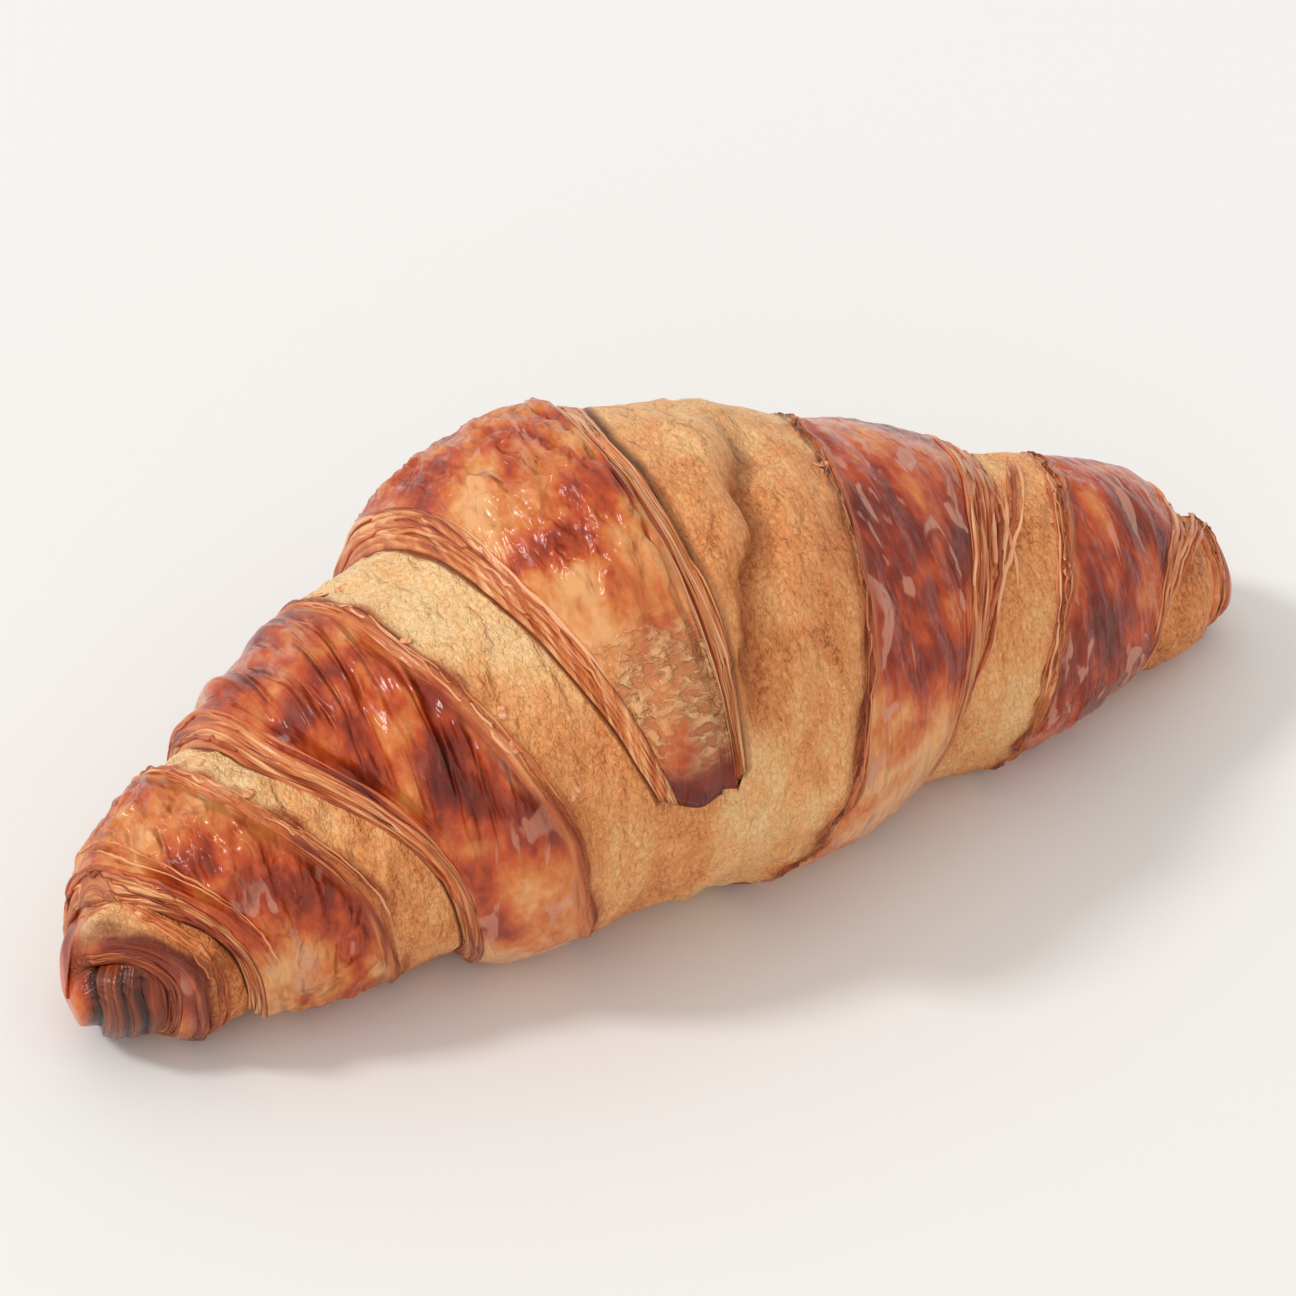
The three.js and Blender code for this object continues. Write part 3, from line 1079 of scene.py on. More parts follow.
    def masks(
        self,
        side: Side,
        turn: np.ndarray,
        points: np.ndarray,
        depth: np.ndarray,
        rim: np.ndarray,
        leaf: np.ndarray,
    ) -> dict:
        """Works out what each point's crust is like.

        Args:
            side: side of the tongue.
            turn: turns of the points.
            points: their places.
            depth: millimetres into the glazed band.
            rim: share of the way down a bevel.
            leaf: painted light and shade, 1 at a leaf's lit edge and 0 at the shaded foot under it.

        Returns:
            Mask to its numbers.
        """
        dough, zones = self.dough, self.zones
        across = dough.share(side, turn, points[..., 0])
        phase = (turn - zones.first_phase) % 1.0 + zones.first_phase
        on_strip = 1 - ramp(rim, *zones.bevel)
        glazed = ramp(depth, *zones.glaze_depths) * on_strip
        on_tongue = 1 - ramp(turn, *zones.past_tongue_turns)
        _, band = self.seam_band(side, turn, depth)
        to_lip = (1 - across) * np.abs(dough.lip(side, turn) - dough.inner(side, turn))
        off_lip = ramp(to_lip, *zones.off_lip_gaps)
        upper = ramp(phase, *zones.front_turns) * (1 - ramp(phase, *zones.back_turns))
        wrinkled = glazed * ramp(depth, *zones.wrinkle_depths) * off_lip * (1 - on_tongue)
        # A milky sheen painted on the glaze as a reflection of the pale surroundings
        film = glazed * (1 - on_tongue) * ramp(depth, *zones.reflection_depths)
        if side is Side.LEFT:
            second = ramp(turn, *zones.second_band_turns)
            bubbled = zones.left_bubbles * wrinkled * second
            low = zones.left_low_wrinkles
            wrinkled = wrinkled * (low + (1 - low) * upper) * (1 - zones.left_second_loss * second)
            film = film * zones.left_reflection * (1 - ramp(phase, *zones.left_reflection_turns))
        else:
            bubbled = zones.right_bubbles * wrinkled
            wrinkled = wrinkled * zones.right_wrinkles
        # Painted shade along the crease of the fold beside the tongue
        off_fold, strength = dough.fold_reach(turn, points[..., 0])
        crease = np.exp(-np.abs(off_fold / np.where(off_fold < 0, *zones.crease_shade_widths)) ** 2)
        blistered = ramp(turn, *zones.blister_turns) * (1 - ramp(turn, *zones.blister_end_turns))
        flaky = ramp(-depth, *zones.flake_depths) * (1 - ramp(-depth, *zones.flake_end_depths))
        bevel_layers = ramp(rim, *zones.layered_bevel)
        shift = zones.side_shift * side.value + 0 * turn
        flow = [depth + self.rim_width * rim, turn * WHOLE_TURN * MEAN_GIRTH, shift]
        return {
            "flow": np.stack(flow, -1),
            "glaze_depth": depth,
            "layered": np.maximum(bevel_layers, np.minimum(1, zones.layered_seam * band)),
            "near_lip": (1 - ramp(to_lip, *zones.near_lip_gaps)) * glazed,
            # Painted light and shade: lighter at leaf edges, darker at the feet under them, lighter
            # all over the tongue's right side
            "leaf": np.maximum(leaf, on_tongue * (side is Side.RIGHT)),
            "browning": self.browning(side, turn, phase, across, glazed, on_tongue),
            "wrinkled": wrinkled,
            "bubbled": bubbled,
            "crumpled": on_tongue * glazed * ramp(turn, *zones.crumple_turns) * off_lip,
            "blistered": on_tongue * glazed * blistered,
            "fibrous": (1 - glazed) * on_strip * ramp(-depth, *zones.fibre_depths),
            "off_tray": ramp(points[..., 2], *TRAY_LEVELS),
            "film": film + glazed * on_tongue * ramp(turn, *zones.tongue_reflection_turns),
            "creased": strength * crease * (side is Side.RIGHT),
            "dark_edge": ramp(turn, *zones.dark_edge_turns) * (side is Side.LEFT),
            "flaky": flaky * on_strip * (1 - on_tongue),
            "burnt": np.zeros_like(depth),
        }

    def browning(
        self,
        side: Side,
        turn: np.ndarray,
        phase: np.ndarray,
        across: np.ndarray,
        glazed: np.ndarray,
        on_tongue: np.ndarray,
    ) -> np.ndarray:
        """Works out how dark the oven made each point.

        Args:
            side: side of the tongue.
            turn: turns of the points.
            phase: the same, counted anew in each wrap.
            across: share of the way across the strip.
            glazed: 1 on the glazed bands.
            on_tongue: 1 on the tongue.

        Returns:
            Values from 0 to about 1.
        """
        dough, zones = self.dough, self.zones
        first, later = (
            table_curve(dough.heat_phases, dough.glaze_heats[side, wrap], phase) for wrap in (1, 2)
        )
        heat = first + (later - first) * ramp(turn, *zones.later_wrap_turns)
        for patch_side, place, share, half_turn, half_share, added in dough.scorches:
            away = ((turn - place) / half_turn) ** 2 + ((across - share) / half_share) ** 2
            heat = heat + added * np.exp(-away) * (side is patch_side)
        tongue_heat = table_curve(dough.tongue_phases, dough.tongue_heats, turn)
        heat = heat + (tongue_heat - heat) * on_tongue
        pale_heat = table_curve(dough.heat_phases, dough.pale_heats[side], phase)
        pale_heat = pale_heat + dough.end_heat * ramp(turn, *zones.brown_end_turns)
        return heat * glazed + pale_heat * (1 - glazed)

    def add_side(self, side: Side, shared: np.ndarray | None) -> np.ndarray:
        """Adds one side's grid.

        Args:
            side: side of the tongue.
            shared: point numbers of the other side, whose middle line is shared.

        Returns:
            Point numbers, rungs by columns.
        """
        points, values = self.rows(side)
        turn_rungs, centre = self.rungs_per_turn, self.centre_columns
        own = np.ones(points.shape[:2], bool)
        own[turn_rungs + 1 :, :centre] = False
        own[turn_rungs:, centre] = False
        if shared is not None:
            own[: turn_rungs + 1, 0] = False
        ids = np.full(points.shape[:2], -1)
        ids[own] = self.add_points(points[own], {name: mask[own] for name, mask in values.items()})
        if shared is not None:
            ids[: turn_rungs + 1, 0] = shared[: turn_rungs + 1, 0]
        for rung in range(turn_rungs, self.rungs + 1):
            ids[rung, centre] = ids[rung - turn_rungs, self.columns]
        flipped = side is Side.LEFT
        first, later = slice(0, turn_rungs + 1), slice(turn_rungs, self.rungs + 1)
        for rows, start in ((first, 0), (later, centre)):
            grid = ids[rows, start:]
            near, far = grid[:-1], grid[1:]
            self.add_faces([near[:, :-1], near[:, 1:], far[:, 1:], far[:, :-1]], flipped)
        upper, lower = ids[0], ids[turn_rungs]
        self.add_faces(
            [lower[:centre], lower[1 : centre + 1], upper[1 : centre + 1], upper[:centre]], flipped
        )
        fan = np.arange(centre, self.columns - 1)
        self.add_faces([np.full(len(fan), lower[centre]), upper[fan + 1], upper[fan]], flipped)
        return ids

    def add_end(self, side: Side, ids: np.ndarray) -> None:
        """Closes one end with a rounded cap inside the last turn of the lip.

        Args:
            side: side of the tongue.
            ids: point numbers of that side.
        """
        last = self.rungs - self.rungs_per_turn
        across = ids[-1, self.centre_columns + 1 : self.columns]
        rim = np.concatenate([ids[last:, self.columns], across[::-1]])
        points = np.concatenate(self.points)[rim]
        values = {name: np.concatenate(kept)[rim] for name, kept in self.values.items()}
        centre, pole = points.mean(0), np.array(self.end_poles[side])
        outer, flipped = rim, side is Side.RIGHT
        around = np.arange(len(rim))[:, None] + np.arange(-self.rim_blur, self.rim_blur + 1)
        even = points[around % len(rim)].mean(1)
        for ring in range(1, self.end_rings + 1):
            angle = ring / self.end_rings * math.pi / 2
            rings = np.full(len(rim), ring)
            inside = ramp(rings, 0, self.cap_even * self.end_rings)
            fresh = ramp(rings, 0, self.cap_fresh * self.end_rings)
            base = points + (even - points) * inside[:, None]
            cap = centre + (base - centre) * math.cos(angle) + (pole - centre) * math.sin(angle)
            cap[:, 0] = base[:, 0] + (pole[0] - base[:, 0]) * math.sin(angle)
            mixed = dict(values)
            for name in self.cap_fading:
                mixed[name] = values[name] * (1 - fresh)
            depth = values["glaze_depth"]
            mixed["glaze_depth"] = depth + (self.cap_depth - depth) * fresh
            mixed["off_tray"] = ramp(cap[:, 2], *TRAY_LEVELS)
            if side is Side.LEFT:
                mixed |= self.burst.open_cap(cap, angle, inside, base[:, 2])
            else:
                mixed |= self.round_nub(cap, pole)
                mixed["near_lip"] = inside
                mixed["layered"] = mixed["layered"] + self.nub_layers * fresh
            heat = values["browning"]
            mixed["browning"] = heat + (mixed["browning"] - heat) * fresh
            cap[:, 0] = np.clip(cap[:, 0], -self.cap_reach, self.cap_reach)
            cap[:, 2] = np.maximum(cap[:, 2], 0)
            if ring == self.end_rings:
                tip = self.add_points(cap[:1], {name: mask[:1] for name, mask in mixed.items()})
                self.add_faces([outer, np.roll(outer, -1), np.full(len(outer), tip[0])], flipped)
                return
            inner = self.add_points(cap, mixed)
            self.add_faces([outer, np.roll(outer, -1), np.roll(inner, -1), inner], flipped)
            outer = inner

    def round_nub(self, cap: np.ndarray, pole: np.ndarray) -> dict:
        """Lays lobed rings round the right end.

        Args:
            cap: points of one ring of the cap.
            pole: middle of the end.

        Returns:
            Mask to its numbers.
        """
        y, z = cap[:, 1] - pole[1], cap[:, 2] - pole[2]
        bearing = np.arctan2(z, y)
        lobes = (size * np.sin(many * bearing + begin) for many, size, begin in self.nub_lobes)
        away = np.hypot(y, z) * sum(lobes, self.nub_roundness)
        heat = np.full(len(cap), self.nub_heat)
        return {"flow": np.stack([away, cap[:, 1], 0 * away], -1), "browning": heat}

    def soften_end(self, ids: np.ndarray) -> None:
        """Melts the end of a rolled strip into the cap beside it.

        Args:
            ids: point numbers of the strip's side.
        """
        points = np.concatenate(self.points)
        values = {name: np.concatenate(kept) for name, kept in self.values.items()}
        line = points[ids[-1, self.centre_columns :: self.soft_stride]]
        away = np.min([np.linalg.norm(points - place, axis=1) for place in line], axis=0)
        pull = self.soft_pull * (1 - ramp(away, *self.soft_reach))
        pairs = np.array(
            [
                (face[k - 1], face[k])
                for face in self.faces
                for k in range(len(face))
                if pull[face[k - 1]] > 0 or pull[face[k]] > 0
            ]
        )
        used, ends = np.unique(pairs, return_inverse=True)
        one, other = ends.reshape(pairs.shape).T
        count = np.bincount(one, minlength=len(used)) + np.bincount(other, minlength=len(used))
        kept = [points, *values.values()]
        table = np.concatenate([numbers[used].reshape(len(used), -1) for numbers in kept], 1)
        for _ in range(self.soft_rounds):
            total = np.zeros_like(table)
            np.add.at(total, one, table[other])
            np.add.at(total, other, table[one])
            table += pull[used, None] * (total / count[:, None] - table)
        column = 0
        for numbers in kept:
            wide = numbers[used].reshape(len(used), -1).shape[1]
            numbers[used] = table[:, column : column + wide].reshape(numbers[used].shape)
            column += wide
        self.points = [points]
        self.values = {name: [numbers] for name, numbers in values.items()}

    def build(self, finish: bpy.types.Material) -> bpy.types.Object:
        """Makes the skin and raises its relief.

        Args:
            finish: the crust's material.

        Returns:
            The body.
        """
        left = self.add_side(Side.LEFT, None)
        right = self.add_side(Side.RIGHT, left)
        self.add_end(Side.LEFT, left)
        self.add_end(Side.RIGHT, right)
        self.soften_end(left)
        piece = make_piece("croissant_crust", np.concatenate(self.points), self.faces)
        give_values(piece.data, {name: np.concatenate(kept) for name, kept in self.values.items()})
        piece.data.shade_smooth()
        self.relief.raise_crust(piece, finish)
        return piece


@dataclass(frozen=True)
class StrandBundle:
    """Strands of dough edge that run side by side round the roll; sizes in millimetres.

    A path is its (turn, place) pairs, and places are counted outward from the lip or from the seam.
    """

    side: Side
    on_lip: bool
    path: tuple
    count: int
    spread: float
    radius: float
    tones: tuple = (0.2, 1.0)


@dataclass
class LayerStrands:
    """Fine strands where the edges of the layers come away along the lips and seams."""

    dough: RolledDough
    # Side, whether on the lip, path, count, spread, radius and tones
    bundles: tuple = tuple(
        StrandBundle(*row)
        for row in (
            (Side.LEFT, True, ((0.06, 0.6), (0.2, 0.6), (0.5, 0.9)), 5, 1.3, 0.22, (0.0, 0.9)),
            (Side.LEFT, True, ((0.05, 0.1), (0.15, 0.0), (0.35, -0.2)), 2, 0.5, 0.26, (0.9, 1.2)),
            (Side.RIGHT, True, ((0.04, 0.9), (0.2, 1.4), (0.5, 1.4)), 8, 2.6, 0.19, (0.5, 1.2)),
            (Side.LEFT, True, ((0.96, 0.5), (1.2, 0.7), (1.5, 0.9)), 6, 2.0, 0.24, (0.0, 0.8)),
            (Side.RIGHT, True, ((0.92, 1.2), (1.2, 2.4), (1.5, 1.6)), 11, 4.6, 0.22, (0.2, 1.1)),
            (Side.LEFT, True, ((1.96, 0.2), (2.2, 0.5), (2.5, 0.6)), 5, 2.2, 0.26, (0.0, 0.7)),
            (Side.RIGHT, True, ((1.92, 0.8), (2.2, 1.8), (2.5, 1.2)), 9, 3.4, 0.18),
            (Side.LEFT, False, ((1.0, 0.0), (1.2, 0.1), (1.5, 0.0)), 4, 1.5, 0.2, (0.5, 1.1)),
            (Side.RIGHT, False, ((0.94, 0.2), (1.2, 0.4), (1.5, 0.2)), 3, 1.0, 0.16),
            (Side.LEFT, False, ((1.98, 0.0), (2.2, 0.2), (2.5, 0.0)), 5, 1.8, 0.19, (0.4, 1.1)),
            (Side.RIGHT, False, ((1.9, 0.0), (2.2, -0.6), (2.5, -0.8)), 5, 2.4, 0.17, (0.4, 1.1)),
            (Side.RIGHT, True, ((1.03, 3.4), (1.12, 5.2), (1.2, 8.2), (1.32, 10.5)), 3, 2.4, 0.34),
            (Side.RIGHT, True, ((1.05, 8.0), (1.14, 7.0), (1.22, 5.0), (1.34, 4.2)), 2, 1.6, 0.36),
            (Side.RIGHT, True, ((0.98, 3.0), (1.06, 4.4), (1.14, 5.4), (1.26, 6.6)), 3, 2.2, 0.32),
            (Side.RIGHT, True, ((2.0, 2.6), (2.1, 4.0), (2.2, 6.0), (2.34, 8.0)), 4, 3.0, 0.3),
            (Side.LEFT, True, ((1.98, -2.4), (2.2, -2.0), (2.5, -1.8)), 2, 0.9, 0.16),
            (Side.LEFT, True, ((1.95, 2.6), (2.1, 3.2), (2.35, 3.0)), 3, 2.2, 0.26, (0.1, 0.8)),
            (Side.LEFT, True, ((2.85, -4.6), (3.05, -3.8), (3.24, -3.4)), 3, 1.8, 0.26, (0.1, 0.8)),
            (Side.LEFT, True, ((2.9, 0.2), (3.1, 0.2), (3.24, 0.2)), 3, 1.2, 0.2, (-0.3, 0.0)),
            (Side.RIGHT, True, ((2.9, 0.4), (3.1, 0.6), (3.24, 0.6)), 5, 1.8, 0.2),
            (Side.RIGHT, True, ((2.96, -3.0), (3.08, -2.2), (3.22, -1.4)), 2, 1.6, 0.5, (0.3, 0.6)),
        )
    )
    seed: int = 12
    bundle_seeds: int = 100
    step: float = 1 / 150
    lengths: tuple = (0.45, 1.0)
    # Chance wavers: size, offset of the seed, waves and pace
    stray: tuple = (0.3, 0, 4, 3.5)
    jitter: tuple = (0.06, 3, 9, 40.0)
    uneven: tuple = (0.35, 7, 6, 12.0)
    mean_thickness: float = 0.75
    thickness_limits: tuple = (0.3, 1.3)
    thinnest: float = 0.03
    fade: float = 0.05
    flow_step: float = 1.7
    sides: int = 8
    raised: float = 0.3

    def place(self, bundle: StrandBundle, turn: np.ndarray, out: np.ndarray) -> np.ndarray:
        """Points beside the lip or the seam, near the surface.

        Args:
            bundle: the bundle.
            turn: where round the roll.
            out: millimetres outward.

        Returns:
            N by 3 array.
        """
        dough, side = self.dough, bundle.side
        if bundle.on_lip:
            lip, foot = dough.lip(side, turn), dough.foot(side, turn)
            x = lip + side.value * out
            down = np.clip((x - lip) / (foot - lip), 0, 1)
            past = dough.lift(side, turn + 1, np.where(down < 1, foot, x))
            lift = dough.lift(side, turn, lip) * (1 - down) + past * down
            lift = np.where(out < 0, dough.lift(side, turn, x), lift)
        else:
            inner = dough.inner(side, turn)
            start = quarter_curve(dough.glaze_starts[side], turn)
            x = inner + (dough.lip(side, turn) - inner) * start + side.value * out
            lift = dough.lift(side, turn, x)
        return dough.point(turn, x, lift)

    def build(self, body: bpy.types.Object, finish: bpy.types.Material) -> bpy.types.Object:
        """Makes the strands, laid on the body.

        Args:
            body: finished skin of the croissant.
            finish: the strands' material.

        Returns:
            The strands.
        """
        chance = np.random.default_rng(self.seed)
        points, edges, radii, tones, flows = [], [], [], [], []
        count = 0
        for number, bundle in enumerate(self.bundles):
            stations, middles = zip(*bundle.path)
            for k in range(bundle.count):
                length = (stations[-1] - stations[0]) * chance.uniform(*self.lengths)
                begin = chance.uniform(stations[0], stations[-1] - length)
                end = begin + length
                turn = np.arange(begin, end, self.step)
                seed = self.bundle_seeds * number + k
                stray, jitter, uneven = (
                    size * wander(turn, seed + shift, waves, pace)
                    for size, shift, waves, pace in (self.stray, self.jitter, self.uneven)
                )
                shift = bundle.spread * ((k + 0.5) / bundle.count - 0.5)
                out = table_curve(stations, middles, turn) + shift + (stray + jitter)
                ends = ramp(turn, begin, begin + self.fade) * (1 - ramp(turn, end - self.fade, end))
                thick = (self.mean_thickness + uneven).clip(*self.thickness_limits)
                points.append(self.place(bundle, turn, out))
                edges.extend((count + i, count + i + 1) for i in range(len(turn) - 1))
                radii.append(np.maximum(bundle.radius * thick * ends, self.thinnest))
                tones.append(np.full(len(turn), chance.uniform(*bundle.tones)))
                along = turn * WHOLE_TURN * MEAN_GIRTH
                across = np.full(len(turn), self.flow_step * seed)
                flows.append(np.stack([across, along, 0 * turn], -1))
                count += len(turn)
        piece = make_piece("crust_layer_strands", np.concatenate(points), [], edges)
        values = {"thickness": radii, "tone": tones, "flow": flows}
        give_values(piece.data, {name: np.concatenate(kept) for name, kept in values.items()})
        self.grow_strands(piece, body, finish)
        return piece

    def grow_strands(
        self, piece: bpy.types.Object, body: bpy.types.Object, finish: bpy.types.Material
    ) -> None:
        """Lays the lines on the body and makes them round and rough.

        Args:
            piece: mesh of lines with their thickness.
            body: surface that they lie on.
            finish: the strands' material.
        """
        sizes = {
            "Body": ("NodeSocketObject", body),
            "Sides": ("NodeSocketInt", self.sides),
        }
        tree, given = new_growth("Layer strands", sizes)
        skin = add_node(tree, "GeometryNodeObjectInfo", {}, {"Object": given.outputs["Body"]})
        surface = skin.outputs["Geometry"]
        nearest = add_node(
            tree, "GeometryNodeProximity", {"target_element": "FACES"}, {0: surface}
        )
        thickness = add_node(
            tree, "GeometryNodeInputNamedAttribute", {"data_type": "FLOAT"}, {"Name": "thickness"}
        )
        radius = weighted_sum(tree, 0.0, ((thickness, MM),))
        normal = add_node(tree, "GeometryNodeInputNormal")
        facing = add_node(
            tree,
            "GeometryNodeSampleNearestSurface",
            {"data_type": "FLOAT_VECTOR"},
            {"Mesh": surface, "Value": normal},
        )
        raised = weighted_sum(tree, 0.0, ((radius, self.raised),))
        scaled = {"Vector": facing, "Scale": raised}
        offset = add_node(tree, "ShaderNodeVectorMath", {"operation": "SCALE"}, scaled)
        laid = add_node(
            tree,
            "GeometryNodeSetPosition",
            {},
            {
                "Geometry": given.outputs["Geometry"],
                "Position": nearest.outputs["Position"],
                "Offset": offset,
            },
        )
        lines = add_node(tree, "GeometryNodeMeshToCurve", {}, {"Mesh": laid})
        sized = add_node(tree, "GeometryNodeSetCurveRadius", {}, {"Curve": lines, "Radius": radius})
        profile = add_node(
            tree,
            "GeometryNodeCurvePrimitiveCircle",
            {},
            {"Resolution": given.outputs["Sides"], "Radius": 1.0},
        )
        round_strands = add_node(
            tree,
            "GeometryNodeCurveToMesh",
            {},
            {"Curve": sized, "Profile Curve": profile, "Scale": radius, "Fill Caps": True},
        )
        close_growth(tree, round_strands)
        grow(piece, tree, sizes, finish)


@dataclass(frozen=True)
class Flakes:
    """Small loose flakes of crust that stick to it along the seams; sizes in millimetres."""

    length: float = 2.6
    width: float = 1.5
    thick: float = 0.07
    curl: float = 0.35
    taper: tuple = (0.5, 0.7)
    bends: tuple = (2.0, 0.6)
    cells: int = 4
    per_square_metre: float = 34000.0
    lowest_level: float = 30.0
    least_flaky: float = 0.5
    scales: tuple = (0.35, 0.9)
    seeds: tuple = (5, 3, 4)
    tone: float = 0.9
    flow_scale: float = 4.0

    def sheet(self) -> tuple:
        """Works out one curled flake.

        Returns:
            Points and faces of a closed thin sheet.
        """
        marks = np.linspace(-0.5, 0.5, self.cells + 1)
        u, v = np.meshgrid(marks, marks, indexing="ij")
        x = self.length * u * (1 - self.taper[0] * np.abs(v))
        y = self.width * v * (1 - self.taper[1] * u * u)
        z = self.curl * (self.bends[0] * u * u + self.bends[1] * v)
        tops = np.stack([x, y, z + self.thick], -1).reshape(-1, 3)
        points = np.concatenate([tops, tops - (0, 0, self.thick)])
        ids = np.arange(tops.shape[0]).reshape(u.shape)
        corners = [ids[:-1, :-1], ids[1:, :-1], ids[1:, 1:], ids[:-1, 1:]]
        cells = np.stack(corners, -1).reshape(-1, len(corners))
        around = np.concatenate([ids[:-1, 0], ids[-1, :-1], ids[:0:-1, -1], ids[0, :0:-1]])
        onward = np.roll(around, -1)
        walls = np.stack([around, around + len(tops), onward + len(tops), onward], -1)
        faces = [*cells.tolist(), *(cells[:, ::-1] + len(tops)).tolist(), *walls.tolist()]
        return points, faces

    def build(self, body: bpy.types.Object, finish: bpy.types.Material) -> bpy.types.Object:
        """Strews the flakes over the upper side of the body's pale bands.

        Args:
            body: finished skin of the croissant.
            finish: the flakes' material.

        Returns:
            The flakes.
        """
        points, faces = self.sheet()
        piece = make_piece("loose_crust_flakes", points, faces)
        tone = np.full(len(points), self.tone)
        give_values(piece.data, {"tone": tone, "flow": points * self.flow_scale})
        place_seed, spin_seed, scale_seed = self.seeds
        sizes = {
            "Body": ("NodeSocketObject", body),
            "Density": ("NodeSocketFloat", self.per_square_metre),
            "Lowest level": ("NodeSocketFloat", self.lowest_level * MM),
            "Seed": ("NodeSocketInt", place_seed),
        }
        tree, given = new_growth("Strewn flakes", sizes)
        skin = add_node(tree, "GeometryNodeObjectInfo", {}, {"Object": given.outputs["Body"]})
        place = add_node(tree, "GeometryNodeInputPosition")
        level = add_node(tree, "ShaderNodeSeparateXYZ", {}, {0: place})
        high = add_node(
            tree,
            "FunctionNodeCompare",
            {"operation": "GREATER_THAN"},
            {0: level.outputs["Z"], 1: given.outputs["Lowest level"]},
        )
        flaky = add_node(
            tree, "GeometryNodeInputNamedAttribute", {"data_type": "FLOAT"}, {"Name": "flaky"}
        )
        above = {"operation": "GREATER_THAN"}
        loose = add_node(tree, "FunctionNodeCompare", above, {0: flaky, 1: self.least_flaky})
        high = add_node(tree, "FunctionNodeBooleanMath", {"operation": "AND"}, {0: high, 1: loose})
        spots = add_node(
            tree,
            "GeometryNodeDistributePointsOnFaces",
            {"distribute_method": "RANDOM"},
            {
                "Mesh": skin.outputs["Geometry"],
                "Selection": high,
                "Density": given.outputs["Density"],
                "Seed": given.outputs["Seed"],
            },
        )
        kind, plain = "FunctionNodeRandomValue", {"data_type": "FLOAT"}
        spin, scale = (
            add_node(tree, kind, plain, {2: low, 3: high, "Seed": seed})
            for low, high, seed in ((0.0, WHOLE_TURN, spin_seed), (*self.scales, scale_seed))
        )
        turned = add_node(
            tree,
            "FunctionNodeRotateRotation",
            {"rotation_space": "LOCAL"},
            {
                "Rotation": spots.outputs["Rotation"],
                "Rotate By": add_node(tree, "ShaderNodeCombineXYZ", {}, {"Z": spin.outputs[1]}),
            },
        )
        strewn = add_node(
            tree,
            "GeometryNodeInstanceOnPoints",
            {},
            {
                "Points": spots.outputs["Points"],
                "Instance": given.outputs["Geometry"],
                "Rotation": turned,
                "Scale": scale.outputs[1],
            },
        )
        close_growth(tree, strewn)
        grow(piece, tree, sizes, finish)
        return piece


